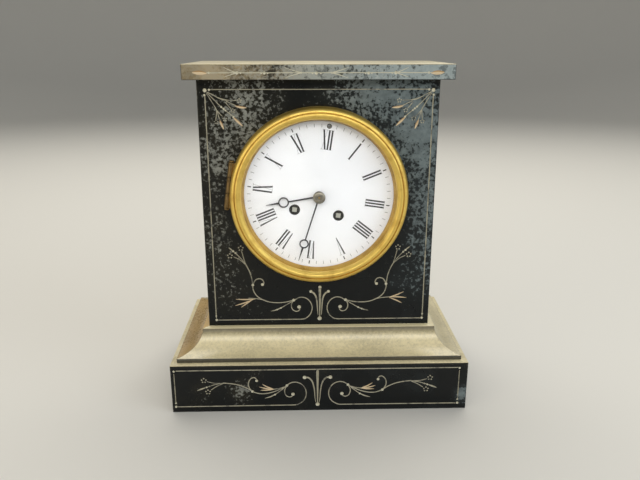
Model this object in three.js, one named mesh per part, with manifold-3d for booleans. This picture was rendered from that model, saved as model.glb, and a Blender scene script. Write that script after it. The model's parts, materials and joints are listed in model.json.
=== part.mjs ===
// Slate mantel clock: a slate case on a moulded plinth, a round two-train movement behind an enamel
// dial, a gilt bezel that opens on a hinge, and a short pendulum and a bell at the back.
// Millimetres, +Z up, the front faces -Y, the origin is under the middle of the plinth.
import * as THREE from "three";
import { mergeVertices } from "three/addons/utils/BufferGeometryUtils.js";
import Module from "manifold-3d";

const wasm = await Module();
wasm.setup();

// Slate case
const CASE_WIDTH = 174;
const CASE_DEPTH = 79;
const CASE_HEIGHT = 189.7;
const PANEL_THICKNESS = 13;
const SLAB_OVERHANG = 8.7;
const SLAB_THICKNESS = 10.7;
const PLINTH_OVERHANG = 27.5;
const PLINTH_HEIGHT = 40;
const PLINTH_WALL = 16;
const BASE_THICKNESS = 8;
const TOE_OVERHANG = 22.8;
const TOE_HEIGHT = 3.6;
const LEDGE_OVERHANG = 4.5;
const MOULDING_HEIGHT = 20.6;
const CAVETTO_STEPS = 8;

// Gaps
const CLEARANCE = 0.3; // between seated pieces, and round pivots and pipes
const DOOR_GAP = 0.4; // between a door and the ring that it closes on
const OVERLAP = 0.5; // how far fused shapes run into each other
const CUT_PAST = 1; // how far a cutter runs past the piece that it cuts

// Facets
const LARGE_SIDES = 48; // bezel and dial
const PLATE_SIDES = 36; // plates, glass and back ring
const PAN_SIDES = 32;
const BARREL_SIDES = 20;
const PIPE_SIDES = 16;
const HOLE_SIDES = 12;
const PIVOT_SIDES = 6;

// Dial, bezel and hands
const DIAL_CENTRE_HEIGHT = 166;
const MOVEMENT_ROLL = 8.3; // degrees that the movement is turned clockwise, seen from the front
const DIAL_RADIUS = 56;
const DIAL_THICKNESS = 1.6;
const DIAL_PROUD = 2; // how far the dial's face stands in front of the case
const PAN_THICKNESS = 1;
const PAN_FOOT_RADIUS = 1.6;
const PAN_FOOT_CIRCLE = 36;
const PAN_FOOT_BEARINGS = [60, 180, 300];
const PAN_RIM = 1.8;
const SEAT_WALL = 1.3;
const SEAT_FLANGE_RADIUS = 64.5;
const SEAT_FLANGE_THICKNESS = 1.6;
const SEAT_DEPTH = 6.5;
const SEAT_LIP_WIDTH = 2.8;
const SEAT_LIP_THICKNESS = 1.5;
const SEAT_LUG_LAP = 2; // how far the hinge's lug runs over the flange
const BEZEL_RADIUS = 66;
const BEZEL_WIDTH = 8.8;
const BEZEL_SIGHT_RADIUS = BEZEL_RADIUS - BEZEL_WIDTH;
const SIGHT_RING_WIDTH = 1.7; // how far the ring behind the glass shows inside the bezel
const BEZEL_HEIGHT = 10.7; // from the back of the bezel to its crown
const BEZEL_GROOVE_INSET = 4.2; // from the rim in to the groove
const BEZEL_GROOVE_RADIUS = BEZEL_RADIUS - BEZEL_GROOVE_INSET;
const BEZEL_GROOVE_DEPTH = 1.1;
const BEZEL_GROOVE_SIDE = 0.6; // from the groove's bottom in to the crown
const BEZEL_CROWN_WIDTH = 0.8;
const BEZEL_BEAD_FOOT = 0.55; // share of the bezel's height that the outer bead takes
const BEZEL_BEAD_WIDTH = 0.85; // share of the way from the rim to the groove
const BEZEL_BEAD_DROP = 0.6; // from the crown back to the top of the outer bead
const BEZEL_INNER_LIP = 1;
const BEZEL_STEPS = 3;
const GLASS_THICKNESS = 1.6;
const GLASS_REBATE = 1.8; // how far the glass runs under the bezel's inner edge
const GLASS_SEAT = 6.2; // from the back of the bezel to the front of the glass's rim
const GLASS_RISE = 5;
const DOME_SHARES = [1, 0.6, 0]; // of the dome's radius, where its profile has a corner
const HINGE_KNUCKLE_RADIUS = 2.2;
const HINGE_PIN_RADIUS = 1;
const HINGE_LENGTH = 34;
const HINGE_FIXED_LENGTH = 12;
const HINGE_BUTTON = 1.2;
const HINGE_LEAF = 3; // thickness of the leaf that joins a knuckle to the bezel
const HINGE_LEAF_REACH = 5;
const HINGE_OUTSET = 0.5; // how far the hinge's axis lies outside the bezel's rim
const HINGE_RISE = 7; // how far the hinge's axis lies in front of the case
const WINDING_SPREAD = 16.6;
const WINDING_DROP = 13;
const WINDING_HOLE_RADIUS = 4.1;
const REGULATOR_RISE = 52;
const REGULATOR_RADIUS = 1;
const HOUR_HAND_ANGLE = 252.7;
const HOUR_HAND_LENGTH = 40;
const HOUR_MOON_CIRCLE = 26.7;
const HOUR_MOON_RADIUS = 4;
const MINUTE_HAND_ANGLE = 189.2;
const MINUTE_HAND_LENGTH = 51.6;
const MINUTE_MOON_CIRCLE = 37.6;
const MINUTE_MOON_RADIUS = 3.6;
const HAND_THICKNESS = 0.8;
const HAND_SPACING = 1.4; // between the dial and the hour hand, and between the two hands
const HAND_STEM_WIDTH = 1.6;
const HAND_STEM_END = 1.2;
const HAND_TIP_BASE = 2.1;
const HAND_TIP_END = 0.3;
const HAND_HUB_RIM = 1.4;
const MOON_RIM = 1.1;
const COLLET_RADIUS = 4.65;
const COLLET_HEIGHT = 2;
const COLLET_SHAPE = [[0.45, 0], [0.8, 0.35], [1, 0.7], [1, 1]]; // shares of radius and height

// Plates
const PLATE_RADIUS = 41;
const PLATE_THICKNESS = 2;
const MOTION_SPACE = 8.1; // between the dial pan and the front plate
const PILLAR_RADIUS = 2.5;
const PILLAR_CIRCLE = 36.5;
const PILLAR_BEARING = 20; // degrees from the horizontal to the upper right pillar
const BARREL_GAP = 1; // from the front plate to the barrels

// Wheels: the tooth counts give 10,800 beats an hour and hands that turn 12 to 1
const TOOTH_TIP = 0.8; // in modules, outside the pitch circle
const TOOTH_ROOT = 1.3; // in modules, inside the pitch circle
const WHEEL_THICKNESS = 1.2;
const WHEEL_RIM = 1.6;
const SPOKES = 4;
const SPOKE_HALF_ANGLE = 0.18; // radians from a spoke's middle to its edge
const LEVEL_GAP = 1.2; // between one wheel's level and the next
const PINION_REACH = 0.4; // how far a pinion runs past its wheel on each side
const ARBOR_RADIUS = 0.8;
const PIVOT_RADIUS = 0.6;
const LEAF_SINK = 0.03; // how far an arbor's neck lies inside the roots of its pinion's leaves
const MOTION_DISTANCE = 10; // from the cannon pinion to the minute wheel
const CANNON_TEETH = 12;
const MINUTE_WHEEL_TEETH = 36;
const MINUTE_PINION_TEETH = 10;
const HOUR_WHEEL_TEETH = 40;
const HOUR_HUB_RADIUS = 4;
const HOUR_WINDOW_RADIUS = 6.2;
const CENTRE_ARBOR_RADIUS = 0.9;
const PIPE_WALL = 0.6;
const BARREL_RADIUS = 14.4;
const BARREL_LENGTH = 16.5;
const BARREL_WALL = 1;
const BARREL_FLOOR = 1.5;
const BARREL_TEETH = 80;
const BARREL_TEETH_LENGTH = 2.5;
const GREAT_MODULE = 0.385;
const SECOND_PINION_TEETH = 12;
const INTERMEDIATE_TEETH = 64;
const INTERMEDIATE_MODULE = 0.4;
const CENTRE_PINION_TEETH = 10;
const CENTRE_TEETH = 84;
const CENTRE_MODULE = 0.3;
const THIRD_PINION_TEETH = 7;
const THIRD_TEETH = 75;
const THIRD_MODULE = 0.28;
const ESCAPE_PINION_TEETH = 6;
const ESCAPE_TEETH = 36;
const ESCAPE_RADIUS = 8;
const ESCAPE_HUB = 2;
const ESCAPE_TOOTH_DEPTH = 1.3;
const ESCAPE_TOOTH_TIP = 0.3; // share of the pitch, from the tooth's place to its tip
const ESCAPE_TOOTH_ROOT = 0.6; // share of the pitch, from the tooth's place to its root
const PALLET_GAP = 2.5; // from the escape wheel's rim to the pallet arbor
const PALLET_SWING = 5; // degrees each way
const PALLET_HUB = 2;
const PALLET_WIDTH = 2;
const PALLET_TIP_WIDTH = 1.4;
const STRIKE_SECOND_TEETH = 72;
const STRIKE_SECOND_MODULE = 0.36;
const PIN_PINION_TEETH = 8;
const PIN_TEETH = 60;
const PIN_MODULE = 0.3;
const PIN_BEARING = 115; // degrees from the strike's second wheel to its pin wheel
const PIN_COUNT = 8;
const LIFTING_PIN_RADIUS = 0.4;
const WARNING_PINION_TEETH = 6;
const WARNING_TEETH = 50;
const WARNING_MODULE = 0.28;
const WARNING_BEARING = 35;
const FLY_PINION_TEETH = 6;
const FLY_BEARING = 80;
const FLY_WIDTH = 11;
const FLY_LENGTH = 6;
const FLY_THICKNESS = 0.8;
const FLY_GAP = 2; // from the fly to the back plate

// Winding work
const WINDING_ARBOR_RADIUS = 2;
const WINDING_SQUARE = 3.4;
const WINDING_RECESS = 1; // from the dial's face back to the end of the winding square
const RATCHET_TEETH = 24;
const RATCHET_RADIUS = 7.5;
const RATCHET_DEPTH = 0.9;
const RATCHET_THICKNESS = 1.8;
const RATCHET_UNDERCUT = 0.12; // share of the pitch, from a tooth's tip to its root
const CLICK_CIRCLE = 11.2;
const CLICK_BEARING = 30; // degrees below the horizontal, outwards, to the click's screw
const CLICK_SWEEP = 35; // degrees round the ratchet from the click's screw to its tip
const CLICK_HUB = 1.7;
const CLICK_WIDTH = 2;
const CLICK_TIP_WIDTH = 0.8;
const CLICK_TIP_GAP = 0.9; // from the ratchet's teeth to the middle of the click's tip
const STUD_RADIUS = 0.8;
const SPRING_TURNS = 3;
const SPRING_STEPS = 10; // in a turn
const SPRING_HUB_GAP = 0.8;
const SPRING_THICKNESS = 0.5;
const SPRING_HUB_RADIUS = 3.6;

// Pendulum, hammer and bell
const PENDULUM_LENGTH = 110.4; // three beats a second
const PENDULUM_SETBACK = 8; // from the back plate to the pendulum's plane
const PENDULUM_ROD_RADIUS = 1;
const BOB_RADIUS = 12;
const BOB_THICKNESS = 8;
const BOB_STEPS = 3;
const NUT_HEIGHT = 2.5;
const NUT_RADIUS = 3;
const ROD_TAIL = 5; // from the top of the rating nut to the end of the rod
const ROD_FERRULE_RADIUS = 1.6;
const ROD_FERRULE_LENGTH = 3;
const SUSPENSION_LENGTH = 14;
const SUSPENSION_WIDTH = 5;
const SUSPENSION_THICKNESS = 0.4;
const SUSPENSION_RISE = 4.6; // from the line of the pallet arbor up into the cock's slit
const SUSPENSION_FOOT_WIDTH = 2.8;
const SUSPENSION_FOOT_HEIGHT = 4;
const COCK_WIDTH = 10;
const COCK_PLATE = 2.6;
const COCK_RISE = 3; // from the pallet arbor to the bottom of the cock
const COCK_ABOVE = 4; // from the regulator arbor to the top of the cock
const COCK_ARM_HEIGHT = 8;
const COCK_JAW_HEIGHT = 4;
const COCK_MARGIN = 1; // round the suspension, and under the arm
const SLIT_HALF = 1.5;
const SLIT_HEIGHT = 3;
const REGULATOR_TAIL = 4;
const REGULATOR_COLLAR = 2.6;
const REGULATOR_NUT_RADIUS = 2.4; // behind the cock
const REGULATOR_COLLAR_RADIUS = 1.8; // in front of the cock
const CRUTCH_LENGTH = 28;
const CRUTCH_GAP = 1; // from the back plate to the crutch
const CRUTCH_THICKNESS = 1.4;
const CRUTCH_WIDTH = 2;
const CRUTCH_HUB = 2.2;
const FORK_WALL = 1.2;
const FORK_HALF_HEIGHT = 1;
const FORK_PAST = 2; // how far the fork runs behind the pendulum's plane
const HAMMER_OUTSET = 33; // from the middle, to the strike's side
const HAMMER_RISE = 3;
const HAMMER_REACH = 12.5;
const HAMMER_BEARING = -106; // degrees from the horizontal to the hammer's head
const HAMMER_HUB = 2;
const HAMMER_ARM_GAP = 3; // from the back plate to the hammer's arm
const HAMMER_ARM_THICKNESS = 2;
const HAMMER_ARM_WIDTH = 2.4;
const HAMMER_SHANK_RADIUS = 1.2;
const HAMMER_HEAD_GAP = 1; // from the plane of the bell's rim to the head
const HAMMER_HEAD_RADIUS = 3.2;
const HAMMER_HEAD_LENGTH = 6;
const BELL_DROP = 6;
const BELL_RADIUS = 30;
const BELL_DEPTH = 13.5;
const BELL_WALL = 1.4;
const BELL_STEPS = 3;
const BELL_SETBACK = 15.5; // from the back plate to the bell's rim
const STAND_OUTSET = 20; // from the middle, to the strike's side
const STAND_DROP = 34;
const STAND_RADIUS = 1.6;
const STAND_ARM = 2.2;
const STAND_ARM_WIDTH = 4;
const STAND_BOSS_RADIUS = 3.2;
const STAND_FOOT = 2;
const STAND_BUTTON = 1.4;
const STAND_BUTTON_RADIUS = 2.7;

// Back
const BACK_HOLE_RADIUS = 50;
const BACK_RING_RADIUS = 56;
const BACK_RING_OPENING = 40;
const BACK_RING_THICKNESS = 3;
const BACK_DOOR_LAP = 2;
const BACK_DOOR_THICKNESS = 1.5;
const BACK_HINGE_OUTSET = 4; // from the door's rim to its hinge's axis
const BACK_KNUCKLE_RADIUS = 1.8;
const BACK_KNUCKLE_LENGTH = 8.8;
const BACK_LUG_HALF = 1.45;
const BACK_LEAF_LAP = 6; // how far the door's leaf runs in from its rim
const KNOB_RADIUS = 2.4;
const KNOB_HEIGHT = 4;
const KNOB_INSET = 5;
const STRAP_OFFSET = 44;
const STRAP_DROP = 14;
const STRAP_WIDTH = 8;
const STRAP_THICKNESS = 2.5;
const STRAP_STUD_RADIUS = 1.5;
const STRAP_NUT_RADIUS = 3;
const STRAP_NUT_REACH = 2; // from the back ring to the end of a strap's stud
const STRAP_FOOT = 2;
const STRAP_STUD_ROOT = 4; // how far a stud runs forward into its strap

const TAU = 2 * Math.PI;
const radians = THREE.MathUtils.degToRad;

// Materials
const metal = (color, roughness) => new THREE.MeshStandardMaterial({
  color, roughness, metalness: 1, flatShading: true,
});
const slate = new THREE.MeshStandardMaterial({ color: 0x24282a, roughness: 0.35, flatShading: true });
const gilt = metal(0xc9a548, 0.25);
const brass = metal(0xb08d4f, 0.4);
const steel = metal(0x8c8f93, 0.35);
const blued = metal(0x1b2230, 0.3);
const bellMetal = metal(0xa98a52, 0.3);
const enamel = new THREE.MeshStandardMaterial({ color: 0xf2f1e8, roughness: 0.15, flatShading: true });
const glass = new THREE.MeshStandardMaterial({
  color: 0xf4f8f8, roughness: 0.02, transparent: true, opacity: 0.15, flatShading: true,
});

// Joins shared corners and drops empty triangles, so that a geometry is one closed skin
function skin(geometry) {
  const plain = geometry.clone();
  plain.deleteAttribute("normal");
  plain.deleteAttribute("uv");
  const joined = mergeVertices(plain);
  const corners = joined.index.array;
  const kept = [];
  for (let i = 0; i < corners.length; i += 3) {
    const [a, b, c] = [corners[i], corners[i + 1], corners[i + 2]];
    if (a !== b && b !== c && c !== a) kept.push(a, b, c);
  }
  joined.setIndex(kept);
  return joined;
}

function solid(geometry) {
  const { attributes, index } = skin(geometry);
  return new wasm.Manifold(new wasm.Mesh({
    numProp: 3,
    vertProperties: attributes.position.array,
    triVerts: Uint32Array.from(index.array),
  }));
}

function geometryOf(manifold) {
  const { vertProperties, triVerts } = manifold.getMesh();
  const geometry = new THREE.BufferGeometry();
  geometry.setAttribute("position", new THREE.BufferAttribute(Float32Array.from(vertProperties), 3));
  geometry.setIndex(Array.from(triVerts));
  return geometry;
}

const fuse = (first, ...rest) => geometryOf(rest.reduce((body, g) => body.add(solid(g)), solid(first)));
const cut = (first, ...rest) => geometryOf(rest.reduce((body, g) => body.subtract(solid(g)), solid(first)));

// In the movement, x runs right and z up across the dial, and y is the depth behind the case's front.
const polar = (radius, angle, [u, v] = [0, 0]) => [
  u + radius * Math.cos(angle),
  v + radius * Math.sin(angle),
];
const points = (list) => list.map(([a, b]) => new THREE.Vector2(a, b));
const shifted = (geometry, [u, v], depth = 0) => geometry.clone().translate(u, depth, v);

// A circle, as a closed outline
function circle(radius, place = [0, 0], sides = 10) {
  return Array.from({ length: sides }, (_, i) => polar(radius, TAU * i / sides, place));
}

// A box between two corners, with exact faces
function block([x0, y0, z0], [x1, y1, z1]) {
  const geometry = new THREE.BoxGeometry();
  const p = geometry.attributes.position;
  for (let i = 0; i < p.count; i += 1) {
    p.setXYZ(i, p.getX(i) < 0 ? x0 : x1, p.getY(i) < 0 ? y0 : y1, p.getZ(i) < 0 ? z0 : z1);
  }
  return geometry;
}

// A flat outline across the dial, carried through the depth from front to back
function sheet(outline, [front, back], holes = []) {
  const shape = new THREE.Shape(points(outline));
  shape.holes = holes.map((hole) => new THREE.Path(points(hole)));
  const geometry = new THREE.ExtrudeGeometry(shape, { depth: 1, bevelEnabled: false });
  const p = geometry.attributes.position;
  for (let i = 0; i < p.count; i += 1) {
    p.setXYZ(i, p.getX(i), p.getZ(i) > 0 ? front : back, p.getY(i));
  }
  return geometry;
}

// A profile of [radius, depth] pairs turned round the depth axis
const turned = (profile, sides = BARREL_SIDES) => new THREE.LatheGeometry(points(profile), sides);

const rod = (radius, [front, back], sides = 8) => turned(
  [[0, front], [radius, front], [radius, back], [0, back]],
  sides,
);

const tube = (inner, outer, [front, back], sides = BARREL_SIDES) => turned(
  [[inner, front], [outer, front], [outer, back], [inner, back], [inner, front]],
  sides,
);

// A shaft of several diameters: [radius, far end] pairs from the front
function shaft(front, runs, sides = PIVOT_SIDES) {
  const profile = [[0, front]];
  let depth = front;
  for (const [radius, end] of runs) {
    profile.push([radius, depth], [radius, end]);
    depth = end;
  }
  profile.push([0, depth]);
  return turned(profile, sides);
}

// A round bar that stands up across the dial
function upright(radius, [u, depth], [bottom, top], sides = HOLE_SIDES) {
  const bar = new THREE.CylinderGeometry(radius, radius, top - bottom, sides);
  return bar.rotateX(Math.PI / 2).translate(u, depth, (bottom + top) / 2);
}

// A flat bar across the dial between two points, tapered from one width to another
function bar(from, to, [startWidth, endWidth], depths) {
  const angle = Math.atan2(to[1] - from[1], to[0] - from[0]);
  const side = angle + Math.PI / 2;
  const outline = [
    polar(-startWidth / 2, side, from),
    polar(-endWidth / 2, side, to),
    polar(endWidth / 2, side, to),
    polar(startWidth / 2, side, from),
  ];
  return sheet(outline, depths);
}

// Pointed teeth round a pitch circle, with one tooth at the phase angle
function teeth(count, module, phase) {
  const pitch = count * module / 2;
  const outline = [];
  for (let i = 0; i < count; i += 1) {
    outline.push(polar(pitch + TOOTH_TIP * module, phase + TAU * i / count));
    outline.push(polar(pitch - TOOTH_ROOT * module, phase + TAU * (i + 0.5) / count));
  }
  return outline;
}

// The windows between a wheel's hub and rim
function crossings(inner, outer) {
  const windows = [];
  for (let i = 0; i < SPOKES; i += 1) {
    const start = TAU * i / SPOKES + SPOKE_HALF_ANGLE;
    const end = TAU * (i + 1) / SPOKES - SPOKE_HALF_ANGLE;
    const middle = (start + end) / 2;
    windows.push([
      polar(outer, start),
      polar(outer, middle),
      polar(outer, end),
      polar(inner, end),
      polar(inner, start),
    ]);
  }
  return windows;
}

const rootRadius = (count, module) => (count / 2 - TOOTH_ROOT) * module;
const meshDistance = (wheel, pinion, module) => (wheel + pinion) * module / 2;
const bearing = (from, to) => Math.atan2(to[1] - from[1], to[0] - from[0]);

// The upper of the two places that lie at given distances from two others
function meeting(first, firstDistance, second, secondDistance) {
  const span = Math.hypot(second[0] - first[0], second[1] - first[1]);
  const along = (firstDistance ** 2 - secondDistance ** 2 + span ** 2) / (2 * span);
  const angle = Math.acos(along / firstDistance);
  const line = bearing(first, second);
  const choices = [polar(firstDistance, line + angle, first), polar(firstDistance, line - angle, first)];
  return choices[0][1] > choices[1][1] ? choices[0] : choices[1];
}

// A wheel with its crossings, with a tooth towards the pinion that it drives
function wheel(count, module, depths, towards) {
  const inside = rootRadius(count, module) - WHEEL_RIM;
  return sheet(teeth(count, module, towards), depths, crossings(2 * WHEEL_RIM, inside));
}

// A pinion, with a gap towards the wheel that drives it
function pinion(count, module, [front, back], fromWheel) {
  const depths = [front - PINION_REACH, back + PINION_REACH];
  return sheet(teeth(count, module, fromWheel + Math.PI + Math.PI / count), depths);
}

const clock = new THREE.Group();
const caseFront = -CASE_DEPTH / 2;
const movement = new THREE.Group();
movement.position.set(0, caseFront, DIAL_CENTRE_HEIGHT);
movement.rotation.y = radians(MOVEMENT_ROLL);
clock.add(movement);

function place(group, name, geometry, material, [u, v] = [0, 0]) {
  const mesh = new THREE.Mesh(skin(geometry), material);
  mesh.name = name;
  mesh.position.set(u, 0, v);
  group.add(mesh);
  return mesh;
}

// Levels through the depth, from the dial back
const dialFront = -DIAL_PROUD;
const dialBack = dialFront + DIAL_THICKNESS;
const panFront = dialBack + CLEARANCE;
const panBack = panFront + PAN_THICKNESS;
const plateFront = panBack + MOTION_SPACE;
const plateBack = plateFront + PLATE_THICKNESS;
const barrelFront = plateBack + BARREL_GAP;
const barrelBack = barrelFront + BARREL_LENGTH;
const levelAfter = (level) => [level[1] + LEVEL_GAP, level[1] + LEVEL_GAP + WHEEL_THICKNESS];
const levelBefore = (level) => [level[0] - LEVEL_GAP - WHEEL_THICKNESS, level[0] - LEVEL_GAP];
const greatLevel = [barrelBack - BARREL_TEETH_LENGTH, barrelBack];
const intermediateLevel = levelAfter(greatLevel);
const pinLevel = levelAfter(intermediateLevel);
const centreLevel = levelAfter(pinLevel);
const secondLevel = levelAfter(centreLevel);
const escapeLevel = [greatLevel[0], greatLevel[0] + WHEEL_THICKNESS];
const thirdLevel = levelBefore(escapeLevel);
const warningLevel = levelBefore(thirdLevel);
const rearPlateFront = levelAfter(secondLevel)[0] + LEVEL_GAP / 2;
const rearPlateBack = rearPlateFront + PLATE_THICKNESS;
const minuteLevel = [plateFront - 2 * LEVEL_GAP, plateFront - LEVEL_GAP];
const hourLevel = levelBefore(levelBefore(minuteLevel));
const ratchetLevel = [plateFront - LEVEL_GAP / 2 - RATCHET_THICKNESS, plateFront - LEVEL_GAP / 2];
const hourHandLevel = [dialFront - HAND_SPACING - HAND_THICKNESS, dialFront - HAND_SPACING];
const minuteHandBack = hourHandLevel[0] - HAND_SPACING;
const minuteHandLevel = [minuteHandBack - HAND_THICKNESS, minuteHandBack];
const pendulumDepth = rearPlateBack + PENDULUM_SETBACK;

// Places of the arbors across the dial
const centrePlace = [0, 0];
const sides = { going: 1, strike: -1 };
const windingPlace = (side) => [side * WINDING_SPREAD, -WINDING_DROP];
const greatDistance = meshDistance(BARREL_TEETH, SECOND_PINION_TEETH, GREAT_MODULE);
const intermediatePlace = meeting(
  windingPlace(sides.going),
  greatDistance,
  centrePlace,
  meshDistance(INTERMEDIATE_TEETH, CENTRE_PINION_TEETH, INTERMEDIATE_MODULE),
);
const thirdPlace = [0, meshDistance(CENTRE_TEETH, THIRD_PINION_TEETH, CENTRE_MODULE)];
const escapePlace = [0, thirdPlace[1] + meshDistance(THIRD_TEETH, ESCAPE_PINION_TEETH, THIRD_MODULE)];
const palletRise = ESCAPE_RADIUS + PALLET_GAP;
const palletPlace = [0, escapePlace[1] + palletRise];
const secondPlace = [-intermediatePlace[0], intermediatePlace[1]];
const pinPlace = polar(
  meshDistance(STRIKE_SECOND_TEETH, PIN_PINION_TEETH, STRIKE_SECOND_MODULE),
  radians(PIN_BEARING),
  secondPlace,
);
const warningPlace = polar(
  meshDistance(PIN_TEETH, WARNING_PINION_TEETH, PIN_MODULE),
  radians(WARNING_BEARING),
  pinPlace,
);
const flyPlace = polar(
  meshDistance(WARNING_TEETH, FLY_PINION_TEETH, WARNING_MODULE),
  radians(FLY_BEARING),
  warningPlace,
);
const minutePlace = [0, MOTION_DISTANCE];
const hammerPlace = [-HAMMER_OUTSET, HAMMER_RISE];
const standPlace = [-STAND_OUTSET, -STAND_DROP];
const regulatorPlace = [0, REGULATOR_RISE];

// Slate: plinth, moulding, panels and top slab
const plinthX = CASE_WIDTH / 2 + PLINTH_OVERHANG;
const plinthY = CASE_DEPTH / 2 + PLINTH_OVERHANG;
const wallX = plinthX - PLINTH_WALL;
const wallY = plinthY - PLINTH_WALL;
const caseX = CASE_WIDTH / 2;
const caseY = CASE_DEPTH / 2;
const innerX = caseX - PANEL_THICKNESS;
const innerY = caseY - PANEL_THICKNESS;
const caseBottom = PLINTH_HEIGHT + MOULDING_HEIGHT;
const caseTop = caseBottom + CASE_HEIGHT;

place(clock, "plinth_front", block([-plinthX, -plinthY, 0], [plinthX, -wallY, PLINTH_HEIGHT]), slate);
place(clock, "plinth_back", block([-plinthX, wallY, 0], [plinthX, plinthY, PLINTH_HEIGHT]), slate);
place(clock, "plinth_left", block([-plinthX, -wallY, 0], [-wallX, wallY, PLINTH_HEIGHT]), slate);
place(clock, "plinth_right", block([wallX, -wallY, 0], [plinthX, wallY, PLINTH_HEIGHT]), slate);
place(clock, "base_slab", block([-wallX, -wallY, 0], [wallX, wallY, BASE_THICKNESS]), slate);

// The moulding's section, as [overhang, height] pairs: a toe, a hollow quarter round and a top ledge
function mouldingSection() {
  const section = [[-PANEL_THICKNESS, 0], [TOE_OVERHANG, 0], [TOE_OVERHANG, TOE_HEIGHT]];
  for (let i = 1; i <= CAVETTO_STEPS; i += 1) {
    const angle = Math.PI / 2 * (1 - i / CAVETTO_STEPS);
    section.push([
      TOE_OVERHANG - (TOE_OVERHANG - LEDGE_OVERHANG) * Math.cos(angle),
      MOULDING_HEIGHT - (MOULDING_HEIGHT - TOE_HEIGHT) * Math.sin(angle),
    ]);
  }
  section.push([-PANEL_THICKNESS, MOULDING_HEIGHT]);
  return section;
}

// One mitred length: the section runs out from the case's face, and its ends follow the corner mitres.
// The compass turn is 0 for the front, 1 for the right, 2 for the back and 3 for the left.
function mouldingLength(turn) {
  const shape = new THREE.Shape(points(mouldingSection()));
  const geometry = new THREE.ExtrudeGeometry(shape, { depth: 1, bevelEnabled: false });
  const p = geometry.attributes.position;
  for (let i = 0; i < p.count; i += 1) {
    const x = caseX + p.getX(i);
    const y = caseY + p.getX(i);
    const end = p.getZ(i) > 0 ? -1 : 1;
    const [cornerX, cornerY] = [[end, -1], [1, end], [-end, 1], [-1, -end]][turn];
    p.setXYZ(i, cornerX * x, cornerY * y, PLINTH_HEIGHT + p.getY(i));
  }
  return geometry;
}

["moulding_front", "moulding_right", "moulding_back", "moulding_left"].forEach((name, turn) => {
  place(clock, name, mouldingLength(turn), slate);
});

// A panel across the case with a round hole for the movement
function holedPanel([front, back], radius) {
  const outline = [[-caseX, caseBottom], [caseX, caseBottom], [caseX, caseTop], [-caseX, caseTop]];
  return sheet(outline, [front, back], [circle(radius, [0, DIAL_CENTRE_HEIGHT], LARGE_SIDES)]);
}

const seatInner = DIAL_RADIUS + CLEARANCE;
const seatOuter = seatInner + SEAT_WALL;
place(clock, "front_panel", holedPanel([-caseY, -innerY], seatOuter + CLEARANCE), slate);
place(clock, "back_panel", holedPanel([innerY, caseY], BACK_HOLE_RADIUS), slate);
place(clock, "left_panel", block([-caseX, -innerY, caseBottom], [-innerX, innerY, caseTop]), slate);
place(clock, "right_panel", block([innerX, -innerY, caseBottom], [caseX, innerY, caseTop]), slate);
const slabX = caseX + SLAB_OVERHANG;
const slabY = caseY + SLAB_OVERHANG;
place(clock, "top_slab", block([-slabX, -slabY, caseTop], [slabX, slabY, caseTop + SLAB_THICKNESS]), slate);

// Bezel seat: a flanged brass ring in the front panel, with the hinge's fixed knuckle
const hingeU = -(BEZEL_RADIUS + HINGE_OUTSET);
const hingeDepth = -HINGE_RISE;
const hingeBore = HINGE_PIN_RADIUS + CLEARANCE;
const fixedHalf = HINGE_FIXED_LENGTH / 2;
const lipInner = seatInner - SEAT_LIP_WIDTH;
const seatRing = turned([
  [seatInner, -SEAT_FLANGE_THICKNESS],
  [SEAT_FLANGE_RADIUS, -SEAT_FLANGE_THICKNESS],
  [SEAT_FLANGE_RADIUS, 0],
  [seatOuter, 0],
  [seatOuter, SEAT_DEPTH],
  [lipInner, SEAT_DEPTH],
  [lipInner, SEAT_DEPTH - SEAT_LIP_THICKNESS],
  [seatInner, SEAT_DEPTH - SEAT_LIP_THICKNESS],
  [seatInner, -SEAT_FLANGE_THICKNESS],
], LARGE_SIDES);
const lugOuter = hingeU - HINGE_KNUCKLE_RADIUS;
const lugInner = hingeU + HINGE_KNUCKLE_RADIUS - CLEARANCE;
const seatWithKnuckle = fuse(
  seatRing,
  block([lugOuter, -SEAT_FLANGE_THICKNESS, -fixedHalf], [SEAT_LUG_LAP - SEAT_FLANGE_RADIUS, 0, fixedHalf]),
  block([lugOuter, hingeDepth, -fixedHalf], [lugInner, 0, fixedHalf]),
  upright(HINGE_KNUCKLE_RADIUS, [hingeU, hingeDepth], [-fixedHalf, fixedHalf]),
);
const boreThrough = upright(hingeBore, [hingeU, hingeDepth], [-HINGE_LENGTH, HINGE_LENGTH]);
place(movement, "bezel_seat", cut(seatWithKnuckle, boreThrough), gilt);

// Hinge pin with a button on each end
const pinHalf = HINGE_LENGTH / 2 + CLEARANCE;
const pinEnd = pinHalf + HINGE_BUTTON;
const pinButton = HINGE_KNUCKLE_RADIUS - CLEARANCE;
place(movement, "bezel_hinge_pin", fuse(
  upright(HINGE_PIN_RADIUS, [hingeU, hingeDepth], [-pinEnd, pinEnd]),
  upright(pinButton, [hingeU, hingeDepth], [-pinEnd, -pinHalf]),
  upright(pinButton, [hingeU, hingeDepth], [pinHalf, pinEnd]),
), gilt);

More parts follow.
